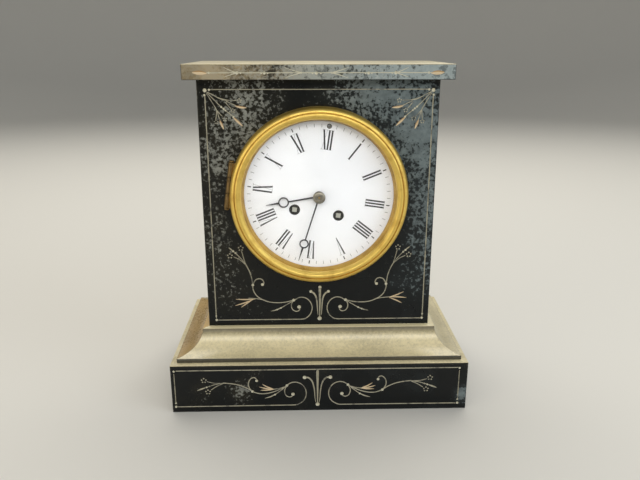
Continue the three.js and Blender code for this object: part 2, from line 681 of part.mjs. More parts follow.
// Bezel: a moulded ring with an outer bead, a dark groove and a slope down to the glass
const bezelBack = Math.min(-SEAT_FLANGE_THICKNESS, dialFront) - DOOR_GAP;
const bezelCrown = bezelBack - BEZEL_HEIGHT;
const glassRadius = BEZEL_SIGHT_RADIUS + GLASS_REBATE;
const glassFront = bezelBack - GLASS_SEAT;
const rebateRadius = glassRadius + CLEARANCE;
const beadWidth = (BEZEL_RADIUS - BEZEL_GROOVE_RADIUS) * BEZEL_BEAD_WIDTH;
const bezelProfile = [[rebateRadius, bezelBack], [BEZEL_RADIUS, bezelBack]];
const beadFoot = bezelCrown + BEZEL_BEAD_FOOT * BEZEL_HEIGHT;
const beadTop = bezelCrown + BEZEL_BEAD_DROP;
for (let i = 0; i <= BEZEL_STEPS; i += 1) {
  const angle = Math.PI / 2 * i / BEZEL_STEPS;
  bezelProfile.push([
    BEZEL_RADIUS - beadWidth * (1 - Math.cos(angle)),
    beadFoot - (beadFoot - beadTop) * Math.sin(angle),
  ]);
}
bezelProfile.push(
  [BEZEL_GROOVE_RADIUS, bezelCrown + BEZEL_GROOVE_DEPTH],
  [BEZEL_GROOVE_RADIUS - BEZEL_GROOVE_SIDE, bezelCrown],
);
const slopeTop = BEZEL_GROOVE_RADIUS - BEZEL_GROOVE_SIDE - BEZEL_CROWN_WIDTH;
const slopeFoot = glassFront - BEZEL_INNER_LIP;
for (let i = 0; i <= BEZEL_STEPS; i += 1) {
  const angle = Math.PI / 2 * i / BEZEL_STEPS;
  bezelProfile.push([
    BEZEL_SIGHT_RADIUS + (slopeTop - BEZEL_SIGHT_RADIUS) * Math.cos(angle),
    bezelCrown + (slopeFoot - bezelCrown) * Math.sin(angle),
  ]);
}
bezelProfile.push(
  [BEZEL_SIGHT_RADIUS, glassFront - CLEARANCE],
  [rebateRadius, glassFront - CLEARANCE],
  [rebateRadius, bezelBack],
);
const knuckleSpan = [fixedHalf + CLEARANCE, HINGE_LENGTH / 2];
const notchRoom = HINGE_KNUCKLE_RADIUS + 2 * CLEARANCE;
const notchHalf = fixedHalf + CLEARANCE;
const notch = block(
  [hingeU - 2 * notchRoom, hingeDepth - notchRoom, -notchHalf],
  [hingeU + notchRoom, 0, notchHalf],
);
const doorKnuckles = [1, -1].map((side) => {
  const span = knuckleSpan.map((v) => side * v).sort((a, b) => a - b);
  return [
    upright(HINGE_KNUCKLE_RADIUS, [hingeU, hingeDepth], span),
    block(
      [hingeU, hingeDepth - HINGE_LEAF / 2, span[0]],
      [hingeU + HINGE_LEAF_REACH, hingeDepth + HINGE_LEAF / 2, span[1]],
    ),
  ];
}).flat();
const clearedRing = cut(turned(bezelProfile.reverse(), LARGE_SIDES), notch);
place(movement, "bezel_ring", cut(fuse(clearedRing, ...doorKnuckles), boreThrough), gilt);

// Glass: a shallow dome of even thickness, seated in the bezel's rebate
const domeRadius = glassRadius - GLASS_REBATE - CLEARANCE;
const domeSphere = (domeRadius ** 2 + GLASS_RISE ** 2) / (2 * GLASS_RISE);
const domeRise = (radius) => Math.sqrt(domeSphere ** 2 - radius ** 2) - domeSphere + GLASS_RISE;
const domeSteps = DOME_SHARES.map((share) => share * domeRadius);
const glassBack = glassFront + GLASS_THICKNESS;
place(movement, "bezel_glass", turned([
  ...domeSteps.map((r) => [r, glassFront - domeRise(r)]).reverse(),
  [glassRadius, glassFront],
  [glassRadius, glassBack],
  ...domeSteps.map((r) => [r, glassBack - domeRise(r)]),
], PLATE_SIDES), glass);

// Sight ring: it holds the glass from behind and slopes in to the dial
const sightFront = glassBack + CLEARANCE;
place(movement, "sight_ring", turned([
  [BEZEL_SIGHT_RADIUS + CLEARANCE, sightFront],
  [glassRadius, sightFront],
  [glassRadius, bezelBack],
  [BEZEL_SIGHT_RADIUS - SIGHT_RING_WIDTH, bezelBack],
  [BEZEL_SIGHT_RADIUS + CLEARANCE, sightFront],
], LARGE_SIDES), gilt);

// Dial and the brass pan behind it
const cannonBore = CENTRE_ARBOR_RADIUS + CLEARANCE;
const cannonOuter = cannonBore + PIPE_WALL;
const hourBore = cannonOuter + CLEARANCE;
const hourPipeOuter = hourBore + PIPE_WALL;
const dialHole = hourPipeOuter + 2 * CLEARANCE;
function dialHoles(extra) {
  return [
    circle(dialHole + extra, centrePlace, HOLE_SIDES),
    circle(WINDING_HOLE_RADIUS + extra, windingPlace(sides.going), HOLE_SIDES),
    circle(WINDING_HOLE_RADIUS + extra, windingPlace(sides.strike), HOLE_SIDES),
    circle(REGULATOR_RADIUS + CLEARANCE + extra, regulatorPlace),
  ];
}
const dialOutline = circle(DIAL_RADIUS, centrePlace, LARGE_SIDES);
place(movement, "dial", sheet(dialOutline, [dialFront, dialBack], dialHoles(0)), enamel);

const lipFront = SEAT_DEPTH - SEAT_LIP_THICKNESS;
const panRadius = DIAL_RADIUS - CLEARANCE;
const feet = PAN_FOOT_BEARINGS.map((angle) => shifted(
  rod(PAN_FOOT_RADIUS, [panBack - OVERLAP, plateFront - CLEARANCE]),
  polar(PAN_FOOT_CIRCLE, radians(angle)),
));
place(movement, "dial_pan", fuse(
  sheet(circle(panRadius, centrePlace, PAN_SIDES), [panFront, panBack], dialHoles(CLEARANCE)),
  tube(panRadius - PAN_RIM, panRadius, [panBack - OVERLAP, lipFront - CLEARANCE], PAN_SIDES),
  ...feet,
), brass);

// Front plate with its four riveted pillars and the studs of the minute wheel and the clicks
const pillarPlaces = [0, 1, 2, 3].map((i) => {
  const upper = i < 2;
  const angle = radians(upper ? PILLAR_BEARING : PILLAR_BEARING - 90);
  const [u, v] = polar(PILLAR_CIRCLE, angle);
  return [i % 2 ? -u : u, v];
});
const clickPlace = (side) => {
  const angle = radians(-CLICK_BEARING);
  const [u, v] = polar(CLICK_CIRCLE, angle);
  const [arborU, arborV] = windingPlace(side);
  return [arborU + side * u, arborV + v];
};
const goingPlaces = [intermediatePlace, thirdPlace, escapePlace];
const strikePlaces = [secondPlace, pinPlace, warningPlace, flyPlace];
const pivotHole = PIVOT_RADIUS + CLEARANCE;
const pivotHoles = [...goingPlaces, ...strikePlaces].map((p) => circle(pivotHole, p, PIVOT_SIDES));
const plateOutline = circle(PLATE_RADIUS, centrePlace, PLATE_SIDES);
const windingSides = Object.values(sides);
const pillarDepths = [plateBack - OVERLAP, rearPlateFront - CLEARANCE];
const clickStudDepths = [ratchetLevel[0], plateFront + OVERLAP];
place(movement, "front_plate", fuse(
  sheet(plateOutline, [plateFront, plateBack], [
    ...pivotHoles,
    circle(pivotHole, palletPlace, PIVOT_SIDES),
    circle(pivotHole, hammerPlace, PIVOT_SIDES),
    circle(CENTRE_ARBOR_RADIUS + CLEARANCE, centrePlace),
    ...windingSides.map((side) => circle(WINDING_ARBOR_RADIUS + CLEARANCE, windingPlace(side))),
  ]),
  ...pillarPlaces.map((p) => shifted(rod(PILLAR_RADIUS, pillarDepths), p)),
  shifted(rod(STUD_RADIUS, [hourLevel[0], plateFront + OVERLAP]), minutePlace),
  ...windingSides.map((side) => shifted(rod(STUD_RADIUS, clickStudDepths), clickPlace(side))),
), brass);

const bigHole = ARBOR_RADIUS + 2 * CLEARANCE;
place(movement, "back_plate", sheet(plateOutline, [rearPlateFront, rearPlateBack], [
  ...pivotHoles,
  circle(pivotHole, centrePlace, PIVOT_SIDES),
  circle(bigHole, palletPlace),
  circle(bigHole, hammerPlace),
  ...windingSides.map((side) => circle(WINDING_ARBOR_RADIUS - CLEARANCE, windingPlace(side))),
]), brass);

// Motion work: cannon pinion and minute hand, minute wheel, hour wheel and hour hand
const cannonModule = 2 * MOTION_DISTANCE / (CANNON_TEETH + MINUTE_WHEEL_TEETH);
const hourModule = 2 * MOTION_DISTANCE / (MINUTE_PINION_TEETH + HOUR_WHEEL_TEETH);
const upwards = bearing(centrePlace, minutePlace);
const cannonPhase = bearing(minutePlace, centrePlace) + Math.PI + Math.PI / CANNON_TEETH;
const cannonEnd = minuteHandLevel[0] - CLEARANCE / 2;
place(movement, "cannon_pinion", cut(
  fuse(
    rod(cannonOuter, [cannonEnd, minuteLevel[1]], PIPE_SIDES),
    sheet(teeth(CANNON_TEETH, cannonModule, cannonPhase), [
      minuteLevel[0] - PINION_REACH,
      minuteLevel[1] + PINION_REACH,
    ]),
  ),
  rod(cannonBore, [cannonEnd - CUT_PAST, plateFront + CUT_PAST]),
), steel);

const minutePinionDepths = [hourLevel[0] - PINION_REACH, minuteLevel[0] + OVERLAP];
const minutePinionPhase = -Math.PI / 2 + Math.PI / MINUTE_PINION_TEETH;
place(movement, "minute_wheel", cut(
  fuse(
    wheel(MINUTE_WHEEL_TEETH, cannonModule, minuteLevel, bearing(minutePlace, centrePlace)),
    sheet(teeth(MINUTE_PINION_TEETH, hourModule, minutePinionPhase), minutePinionDepths),
  ),
  rod(STUD_RADIUS + CLEARANCE, [minutePinionDepths[0] - CUT_PAST, plateFront]),
), brass, minutePlace);

const hourPipeEnd = hourHandLevel[0] - CLEARANCE / 2;
place(movement, "hour_wheel", cut(
  fuse(
    sheet(
      teeth(HOUR_WHEEL_TEETH, hourModule, upwards),
      hourLevel,
      crossings(HOUR_HUB_RADIUS, HOUR_WINDOW_RADIUS),
    ),
    rod(hourPipeOuter, [hourPipeEnd, hourLevel[1]], PIPE_SIDES),
  ),
  rod(hourBore, [hourPipeEnd - CUT_PAST, hourLevel[1] + CUT_PAST], PIPE_SIDES),
), brass);

// A moon hand that points up before it is turned: hub, stem, ring and tip
function moonHand({ hub, bore, length, moonCircle, moonRadius, depths }) {
  const moon = [0, moonCircle];
  const inner = moonRadius - MOON_RIM;
  const stemTop = [0, moonCircle - inner - OVERLAP];
  const tipFoot = [0, moonCircle + inner + OVERLAP];
  return fuse(
    sheet(circle(hub, centrePlace, PIPE_SIDES), depths, [circle(bore, centrePlace, HOLE_SIDES)]),
    bar([0, hub - OVERLAP], stemTop, [HAND_STEM_WIDTH, HAND_STEM_END], depths),
    sheet(circle(moonRadius, moon, BARREL_SIDES), depths, [circle(inner, moon, PIPE_SIDES)]),
    bar(tipFoot, [0, length], [HAND_TIP_BASE, HAND_TIP_END], depths),
  );
}

place(movement, "hour_hand", moonHand({
  hub: hourPipeOuter + CLEARANCE + HAND_HUB_RIM,
  bore: hourPipeOuter + CLEARANCE,
  length: HOUR_HAND_LENGTH,
  moonCircle: HOUR_MOON_CIRCLE,
  moonRadius: HOUR_MOON_RADIUS,
  depths: hourHandLevel,
}), blued).rotation.y = radians(HOUR_HAND_ANGLE);

place(movement, "minute_hand", moonHand({
  hub: cannonOuter + CLEARANCE + HAND_HUB_RIM,
  bore: cannonOuter + CLEARANCE,
  length: MINUTE_HAND_LENGTH,
  moonCircle: MINUTE_MOON_CIRCLE,
  moonRadius: MINUTE_MOON_RADIUS,
  depths: minuteHandLevel,
}), blued).rotation.y = radians(MINUTE_HAND_ANGLE);

const colletBack = minuteHandLevel[0] - CLEARANCE;
const colletFront = colletBack - COLLET_HEIGHT;
place(movement, "hand_collet", turned([
  [cannonBore, colletFront],
  ...COLLET_SHAPE.map(([across, down]) => [across * COLLET_RADIUS, colletFront + down * COLLET_HEIGHT]),
  [cannonBore, colletBack],
  [cannonBore, colletFront],
]), brass);

// An arbor between the plates, thinned where its pinion's leaves are cut
function arborBetweenPlates(pinionDepths, pinionRoot) {
  const [front, back] = [pinionDepths[0] - PINION_REACH, pinionDepths[1] + PINION_REACH];
  const neck = Math.min(ARBOR_RADIUS, pinionRoot - LEAF_SINK);
  return shaft(plateFront + CLEARANCE, [
    [PIVOT_RADIUS, plateBack + CLEARANCE],
    [ARBOR_RADIUS, front],
    [neck, back],
    [ARBOR_RADIUS, rearPlateFront - CLEARANCE],
    [PIVOT_RADIUS, rearPlateBack - CLEARANCE],
  ]);
}

const fromBarrel = bearing(windingPlace(sides.going), intermediatePlace);
const toCentre = bearing(intermediatePlace, centrePlace);
place(movement, "intermediate_wheel", fuse(
  arborBetweenPlates(greatLevel, rootRadius(SECOND_PINION_TEETH, GREAT_MODULE)),
  pinion(SECOND_PINION_TEETH, GREAT_MODULE, greatLevel, fromBarrel),
  wheel(INTERMEDIATE_TEETH, INTERMEDIATE_MODULE, intermediateLevel, toCentre),
), brass, intermediatePlace);

// The centre arbor runs forward through the cannon pinion to the hands
place(movement, "centre_wheel", fuse(
  shaft(colletFront + CLEARANCE, [
    [CENTRE_ARBOR_RADIUS, rearPlateFront - CLEARANCE],
    [PIVOT_RADIUS, rearPlateBack - CLEARANCE],
  ]),
  pinion(CENTRE_PINION_TEETH, INTERMEDIATE_MODULE, intermediateLevel, toCentre),
  wheel(CENTRE_TEETH, CENTRE_MODULE, centreLevel, upwards),
), brass);

place(movement, "third_wheel", fuse(
  arborBetweenPlates(centreLevel, rootRadius(THIRD_PINION_TEETH, CENTRE_MODULE)),
  pinion(THIRD_PINION_TEETH, CENTRE_MODULE, centreLevel, upwards),
  wheel(THIRD_TEETH, THIRD_MODULE, thirdLevel, upwards),
), brass, thirdPlace);

// The escape wheel has long teeth that lean forward
function escapeTeeth() {
  const pitch = TAU / ESCAPE_TEETH;
  const outline = [];
  for (let i = 0; i < ESCAPE_TEETH; i += 1) {
    const angle = pitch * i;
    outline.push(polar(ESCAPE_RADIUS, angle + ESCAPE_TOOTH_TIP * pitch));
    outline.push(polar(ESCAPE_RADIUS - ESCAPE_TOOTH_DEPTH, angle + ESCAPE_TOOTH_ROOT * pitch));
  }
  return outline;
}
const escapeRim = ESCAPE_RADIUS - ESCAPE_TOOTH_DEPTH - WHEEL_RIM;
place(movement, "escape_wheel", fuse(
  arborBetweenPlates(thirdLevel, rootRadius(ESCAPE_PINION_TEETH, THIRD_MODULE)),
  pinion(ESCAPE_PINION_TEETH, THIRD_MODULE, thirdLevel, upwards),
  sheet(escapeTeeth(), escapeLevel, crossings(ESCAPE_HUB, escapeRim)),
), brass, escapePlace);

// Pallets, with their arbor and the crutch that hangs plumb behind the back plate
const palletReach = ESCAPE_RADIUS + PALLET_WIDTH / 2 + CLEARANCE;
const palletLean = Math.asin(palletReach / palletRise) + radians(PALLET_SWING);
const palletTip = polar(palletRise, palletLean - Math.PI / 2);
const palletTips = [1, -1].map((side) => [side * palletTip[0], palletTip[1]]);
const crutchFront = rearPlateBack + CRUTCH_GAP;
const crutchLevel = [crutchFront, crutchFront + CRUTCH_THICKNESS];
const forkReach = pendulumDepth + FORK_PAST;
const forkGap = PENDULUM_ROD_RADIUS + CLEARANCE;
const forkOuter = forkGap + FORK_WALL;
const forkSpan = [-CRUTCH_LENGTH - FORK_HALF_HEIGHT, -CRUTCH_LENGTH + FORK_HALF_HEIGHT];
const crutch = fuse(
  sheet(circle(CRUTCH_HUB), crutchLevel),
  bar([0, 0], [0, -CRUTCH_LENGTH], [CRUTCH_WIDTH, CRUTCH_WIDTH], crutchLevel),
  block([-forkOuter, crutchFront, forkSpan[0]], [forkOuter, crutchLevel[1], forkSpan[1]]),
  block([-forkOuter, crutchFront, forkSpan[0]], [-forkGap, forkReach, forkSpan[1]]),
  block([forkGap, crutchFront, forkSpan[0]], [forkOuter, forkReach, forkSpan[1]]),
).rotateY(-radians(MOVEMENT_ROLL));
place(movement, "pallets", fuse(
  shaft(plateFront + CLEARANCE, [
    [PIVOT_RADIUS, plateBack + CLEARANCE],
    [ARBOR_RADIUS, crutchLevel[1]],
  ]),
  sheet(circle(PALLET_HUB), escapeLevel),
  ...palletTips.map((tip) => bar(centrePlace, tip, [PALLET_WIDTH, PALLET_TIP_WIDTH], escapeLevel)),
  crutch,
), steel, palletPlace);

// Winding work of each train: barrel, cover, mainspring, winding arbor and click
function springOutline(inner, outer) {
  const steps = SPRING_STEPS * SPRING_TURNS;
  const side = (offset) => Array.from({ length: steps + 1 }, (_, i) => polar(
    inner + (outer - inner) * i / steps + offset,
    TAU * SPRING_TURNS * i / steps,
  ));
  return [...side(SPRING_THICKNESS), ...side(0).reverse()];
}

function ratchetTeeth(side) {
  const pitch = TAU / RATCHET_TEETH;
  const outline = [];
  for (let i = 0; i < RATCHET_TEETH; i += 1) {
    const angle = pitch * i;
    outline.push(polar(RATCHET_RADIUS, angle));
    outline.push(polar(RATCHET_RADIUS - RATCHET_DEPTH, angle + side * RATCHET_UNDERCUT * pitch));
  }
  return outline;
}

const barrelInner = BARREL_RADIUS - BARREL_WALL;
const barrelFloor = barrelBack - BARREL_FLOOR;
const coverDepths = [barrelFront, barrelFront + BARREL_WALL];
const springDepths = [coverDepths[1] + 2 * CLEARANCE, barrelFloor - 2 * CLEARANCE];
const arborBore = WINDING_ARBOR_RADIUS + CLEARANCE;
const squareHalf = WINDING_SQUARE / 2;
for (const [train, side] of Object.entries(sides)) {
  const spot = windingPlace(side);
  const mate = side > 0 ? intermediatePlace : secondPlace;
  place(movement, `${train}_barrel`, fuse(
    turned([
      [barrelInner, barrelFront],
      [BARREL_RADIUS, barrelFront],
      [BARREL_RADIUS, barrelBack],
      [arborBore, barrelBack],
      [arborBore, barrelFloor],
      [barrelInner, barrelFloor],
      [barrelInner, barrelFront],
    ]),
    sheet(teeth(BARREL_TEETH, GREAT_MODULE, bearing(spot, mate)), greatLevel, [
      circle(BARREL_RADIUS - BARREL_WALL / 2, centrePlace, BARREL_SIDES),
    ]),
  ), brass, spot);
  const cover = tube(arborBore, barrelInner - CLEARANCE, coverDepths);
  place(movement, `${train}_barrel_cover`, cover, brass, spot);
  const spring = springOutline(
    SPRING_HUB_RADIUS + SPRING_HUB_GAP,
    barrelInner - CLEARANCE - SPRING_THICKNESS,
  );
  place(movement, `${train}_mainspring`, sheet(spring, springDepths), steel, spot);
  const squareFront = dialFront + WINDING_RECESS;
  place(movement, `${train}_winding_arbor`, fuse(
    shaft(panBack, [
      [WINDING_ARBOR_RADIUS, springDepths[0]],
      [SPRING_HUB_RADIUS, springDepths[1]],
      [WINDING_ARBOR_RADIUS, rearPlateFront - CLEARANCE],
      [WINDING_ARBOR_RADIUS - 2 * CLEARANCE, rearPlateBack - CLEARANCE],
    ]),
    block([-squareHalf, squareFront, -squareHalf], [squareHalf, panBack + OVERLAP, squareHalf]),
    sheet(ratchetTeeth(side), ratchetLevel),
  ), steel, spot);
  const screw = clickPlace(side);
  const sweep = radians(side > 0 ? CLICK_SWEEP - CLICK_BEARING : 180 + CLICK_BEARING - CLICK_SWEEP);
  const tip = polar(RATCHET_RADIUS + CLICK_TIP_GAP, sweep, [spot[0] - screw[0], spot[1] - screw[1]]);
  place(movement, `${train}_click`, cut(
    fuse(
      sheet(circle(CLICK_HUB), ratchetLevel),
      bar([0, 0], tip, [CLICK_WIDTH, CLICK_TIP_WIDTH], ratchetLevel),
    ),
    rod(STUD_RADIUS + CLEARANCE, [ratchetLevel[0] - CUT_PAST, ratchetLevel[1] + CUT_PAST]),
  ), steel, screw);
}

// Strike train
const fromStrikeBarrel = bearing(windingPlace(sides.strike), secondPlace);
place(movement, "strike_second_wheel", fuse(
  arborBetweenPlates(greatLevel, rootRadius(SECOND_PINION_TEETH, GREAT_MODULE)),
  pinion(SECOND_PINION_TEETH, GREAT_MODULE, greatLevel, fromStrikeBarrel),
  wheel(STRIKE_SECOND_TEETH, STRIKE_SECOND_MODULE, secondLevel, radians(PIN_BEARING)),
), brass, secondPlace);

const pinCircle = rootRadius(PIN_TEETH, PIN_MODULE) - WHEEL_RIM / 2;
const liftingPins = Array.from({ length: PIN_COUNT }, (_, i) => shifted(
  rod(LIFTING_PIN_RADIUS, [pinLevel[0] - LEVEL_GAP / 2, pinLevel[0] + OVERLAP], 4),
  polar(pinCircle, TAU * i / PIN_COUNT),
));
place(movement, "pin_wheel", fuse(
  arborBetweenPlates(secondLevel, rootRadius(PIN_PINION_TEETH, STRIKE_SECOND_MODULE)),
  pinion(PIN_PINION_TEETH, STRIKE_SECOND_MODULE, secondLevel, radians(PIN_BEARING)),
  wheel(PIN_TEETH, PIN_MODULE, pinLevel, radians(WARNING_BEARING)),
  ...liftingPins,
), brass, pinPlace);

place(movement, "warning_wheel", fuse(
  arborBetweenPlates(pinLevel, rootRadius(WARNING_PINION_TEETH, PIN_MODULE)),
  pinion(WARNING_PINION_TEETH, PIN_MODULE, pinLevel, radians(WARNING_BEARING)),
  wheel(WARNING_TEETH, WARNING_MODULE, warningLevel, radians(FLY_BEARING)),
), brass, warningPlace);

const flyBack = rearPlateFront - FLY_GAP;
const vane = block(
  [-FLY_WIDTH / 2, flyBack - FLY_LENGTH, -FLY_THICKNESS / 2],
  [FLY_WIDTH / 2, flyBack, FLY_THICKNESS / 2],
);
place(movement, "fly", fuse(
  arborBetweenPlates(warningLevel, rootRadius(FLY_PINION_TEETH, WARNING_MODULE)),
  pinion(FLY_PINION_TEETH, WARNING_MODULE, warningLevel, radians(FLY_BEARING)),
  vane,
), brass, flyPlace);

// Hammer: its arbor runs between the plates and carries the arm and head at the back
const bellRim = rearPlateBack + BELL_SETBACK;
const armFront = rearPlateBack + HAMMER_ARM_GAP;
const hammerArm = [armFront, armFront + HAMMER_ARM_THICKNESS];
const hammerEnd = polar(HAMMER_REACH, radians(HAMMER_BEARING));
const headFront = bellRim + HAMMER_HEAD_GAP;
const headDepths = [headFront, headFront + HAMMER_HEAD_LENGTH];
place(movement, "hammer", fuse(
  shaft(plateFront + CLEARANCE, [
    [PIVOT_RADIUS, plateBack + CLEARANCE],
    [ARBOR_RADIUS, hammerArm[1]],
  ]),
  sheet(circle(HAMMER_HUB), hammerArm),
  bar([0, 0], hammerEnd, [HAMMER_ARM_WIDTH, HAMMER_ARM_WIDTH], hammerArm),
  shifted(rod(HAMMER_SHANK_RADIUS, [armFront, headDepths[1]]), hammerEnd),
  shifted(rod(HAMMER_HEAD_RADIUS, headDepths, PIPE_SIDES), hammerEnd),
), steel, hammerPlace);

// Bell: a shallow cup, mouth forwards, held at its crown by the stand
const bellPlace = [0, -BELL_DROP];
const bellHole = STAND_RADIUS;
const bellCurve = (radius, depth) => Array.from({ length: BELL_STEPS + 1 }, (_, i) => {
  const angle = Math.acos(bellHole / radius) * i / BELL_STEPS;
  return [radius * Math.cos(angle), bellRim + depth * Math.sin(angle)];
});
const bellOutside = bellCurve(BELL_RADIUS, BELL_DEPTH);
const bellInside = bellCurve(BELL_RADIUS - BELL_WALL, BELL_DEPTH - BELL_WALL);
const bellProfile = [...bellOutside, ...bellInside.reverse(), bellOutside[0]];
place(movement, "bell", turned(bellProfile), bellMetal, bellPlace);

const bellCrown = bellRim + BELL_DEPTH;
const armDepths = [bellCrown + CLEARANCE, bellCrown + CLEARANCE + STAND_ARM];
const buttonBack = bellCrown - BELL_WALL - CLEARANCE;
const buttonFront = buttonBack - STAND_BUTTON;
place(movement, "bell_stand", fuse(
  shifted(rod(STAND_RADIUS, [rearPlateBack + CLEARANCE, armDepths[1]]), standPlace),
  shifted(rod(STAND_BOSS_RADIUS, [rearPlateBack + CLEARANCE, rearPlateBack + STAND_FOOT]), standPlace),
  bar(standPlace, bellPlace, [STAND_ARM_WIDTH, STAND_ARM_WIDTH], armDepths),
  shifted(rod(STAND_BOSS_RADIUS, armDepths), bellPlace),
  shifted(rod(bellHole - CLEARANCE, [buttonFront, armDepths[0] + OVERLAP]), bellPlace),
  shifted(rod(STAND_BUTTON_RADIUS, [buttonFront, buttonBack]), bellPlace),
), steel);

// Pendulum cock on the back plate, with the slit for the suspension and the regulator's bearing
const cockDepths = [rearPlateBack + CLEARANCE, rearPlateBack + CLEARANCE + COCK_PLATE];
const cockBottom = palletPlace[1] + COCK_RISE;
const cockTop = REGULATOR_RISE + COCK_ABOVE;
const cockHalf = COCK_WIDTH / 2;
const suspensionHalf = SUSPENSION_WIDTH / 2;
const jawFront = pendulumDepth - suspensionHalf - COCK_MARGIN;
const jawBack = pendulumDepth + suspensionHalf + COCK_MARGIN;
const armBottom = cockBottom + COCK_MARGIN;
const slit = block(
  [-SLIT_HALF, jawFront - CUT_PAST, cockBottom - CUT_PAST],
  [SLIT_HALF, jawBack + CUT_PAST, cockBottom + SLIT_HEIGHT],
);
const boreDepths = [cockDepths[0] - CUT_PAST, cockDepths[1] + CUT_PAST];
const regulatorBore = rod(REGULATOR_RADIUS + CLEARANCE, boreDepths);
place(movement, "pendulum_cock", cut(
  fuse(
    block([-cockHalf, cockDepths[0], cockBottom], [cockHalf, cockDepths[1], cockTop]),
    block([-cockHalf, cockDepths[0], armBottom], [cockHalf, jawBack, cockBottom + COCK_ARM_HEIGHT]),
    block([-cockHalf, jawFront, cockBottom], [cockHalf, jawBack, cockBottom + COCK_JAW_HEIGHT]),
  ),
  slit,
  shifted(regulatorBore, regulatorPlace),
), brass);

place(movement, "regulator_arbor", fuse(
  rod(REGULATOR_RADIUS, [dialFront + WINDING_RECESS, cockDepths[1] + REGULATOR_TAIL]),
  rod(REGULATOR_NUT_RADIUS, [cockDepths[1] + CLEARANCE, cockDepths[1] + REGULATOR_COLLAR]),
  rod(REGULATOR_COLLAR_RADIUS, [cockDepths[0] - REGULATOR_COLLAR, cockDepths[0] - CLEARANCE]),
), steel, regulatorPlace);

// Pendulum: it hangs plumb from the line of the pallet arbor, so it isn't turned with the movement
const pendulum = new THREE.Group();
const roll = radians(MOVEMENT_ROLL);
pendulum.position.set(
  palletPlace[1] * Math.sin(roll),
  caseFront + pendulumDepth,
  DIAL_CENTRE_HEIGHT + palletPlace[1] * Math.cos(roll),
);
clock.add(pendulum);

const springHalf = SUSPENSION_THICKNESS / 2;
const footHalf = SUSPENSION_FOOT_WIDTH / 2;
const footTop = OVERLAP - SUSPENSION_LENGTH;
const footBottom = footTop - SUSPENSION_FOOT_HEIGHT;
place(pendulum, "suspension_spring", fuse(
  block([-springHalf, -suspensionHalf, -SUSPENSION_LENGTH], [springHalf, suspensionHalf, SUSPENSION_RISE]),
  block([-footHalf, -suspensionHalf, footBottom], [footHalf, suspensionHalf, footTop]),
), steel);

const rodTop = footBottom - CLEARANCE;
const nutTop = -PENDULUM_LENGTH - BOB_RADIUS - CLEARANCE;
place(pendulum, "pendulum_rod", fuse(
  upright(PENDULUM_ROD_RADIUS, [0, 0], [nutTop - ROD_TAIL, rodTop]),
  upright(ROD_FERRULE_RADIUS, [0, 0], [rodTop - ROD_FERRULE_LENGTH, rodTop]),
  upright(NUT_RADIUS, [0, 0], [nutTop - NUT_HEIGHT, nutTop]),
), steel);

const bobLens = Array.from({ length: BOB_STEPS + 1 }, (_, i) => {
  const angle = Math.PI / 2 * i / BOB_STEPS;
  return [BOB_RADIUS * Math.sin(angle), -BOB_THICKNESS / 2 * Math.cos(angle)];
});
const bobRear = bobLens.slice(0, BOB_STEPS).reverse().map(([r, w]) => [r, -w]);
const bob = turned([...bobLens, ...bobRear]);
const bobBore = upright(PENDULUM_ROD_RADIUS + CLEARANCE, [0, 0], [-2 * BOB_RADIUS, 2 * BOB_RADIUS]);
place(pendulum, "pendulum_bob", cut(bob, bobBore), brass, [0, -PENDULUM_LENGTH]);

// Back: straps, and a ring that carries the hinged door on a riveted pin
const caseBack = CASE_DEPTH;
const ringBack = caseBack + BACK_RING_THICKNESS;
const doorRadius = BACK_RING_OPENING + BACK_DOOR_LAP;
const doorDepths = [ringBack + DOOR_GAP, ringBack + DOOR_GAP + BACK_DOOR_THICKNESS];
const backHingeU = doorRadius + BACK_HINGE_OUTSET;
const backHingeDepth = doorDepths[0] + BACK_KNUCKLE_RADIUS;
const strapPlace = (side) => [side * STRAP_OFFSET, -STRAP_DROP];

for (const [hand, side] of [["left", -1], ["right", 1]]) {
  const bottom = -STRAP_DROP - STRAP_WIDTH / 2;
  const top = -STRAP_DROP + STRAP_WIDTH / 2;
  const footFront = SEAT_DEPTH + CLEARANCE;
  const footReach = Math.sqrt((seatInner - CLEARANCE) ** 2 - bottom ** 2);
  const studEnd = ringBack + STRAP_NUT_REACH;
  const across = [STRAP_OFFSET - STRAP_THICKNESS / 2, STRAP_OFFSET + STRAP_THICKNESS / 2];
  const spanU = (from, to) => [side * from, side * to].sort((a, b) => a - b);
  const [barLow, barHigh] = spanU(...across);
  const [footLow, footHigh] = spanU(across[0], footReach);
  place(movement, `strap_${hand}`, fuse(
    block([barLow, footFront, bottom], [barHigh, caseBack - CLEARANCE, top]),
    block([footLow, footFront, bottom], [footHigh, footFront + STRAP_FOOT, top]),
    shifted(rod(STRAP_STUD_RADIUS, [caseBack - STRAP_STUD_ROOT, studEnd]), strapPlace(side)),
    shifted(rod(STRAP_NUT_RADIUS, [ringBack + CLEARANCE, studEnd], PIVOT_SIDES), strapPlace(side)),
  ), steel);
}

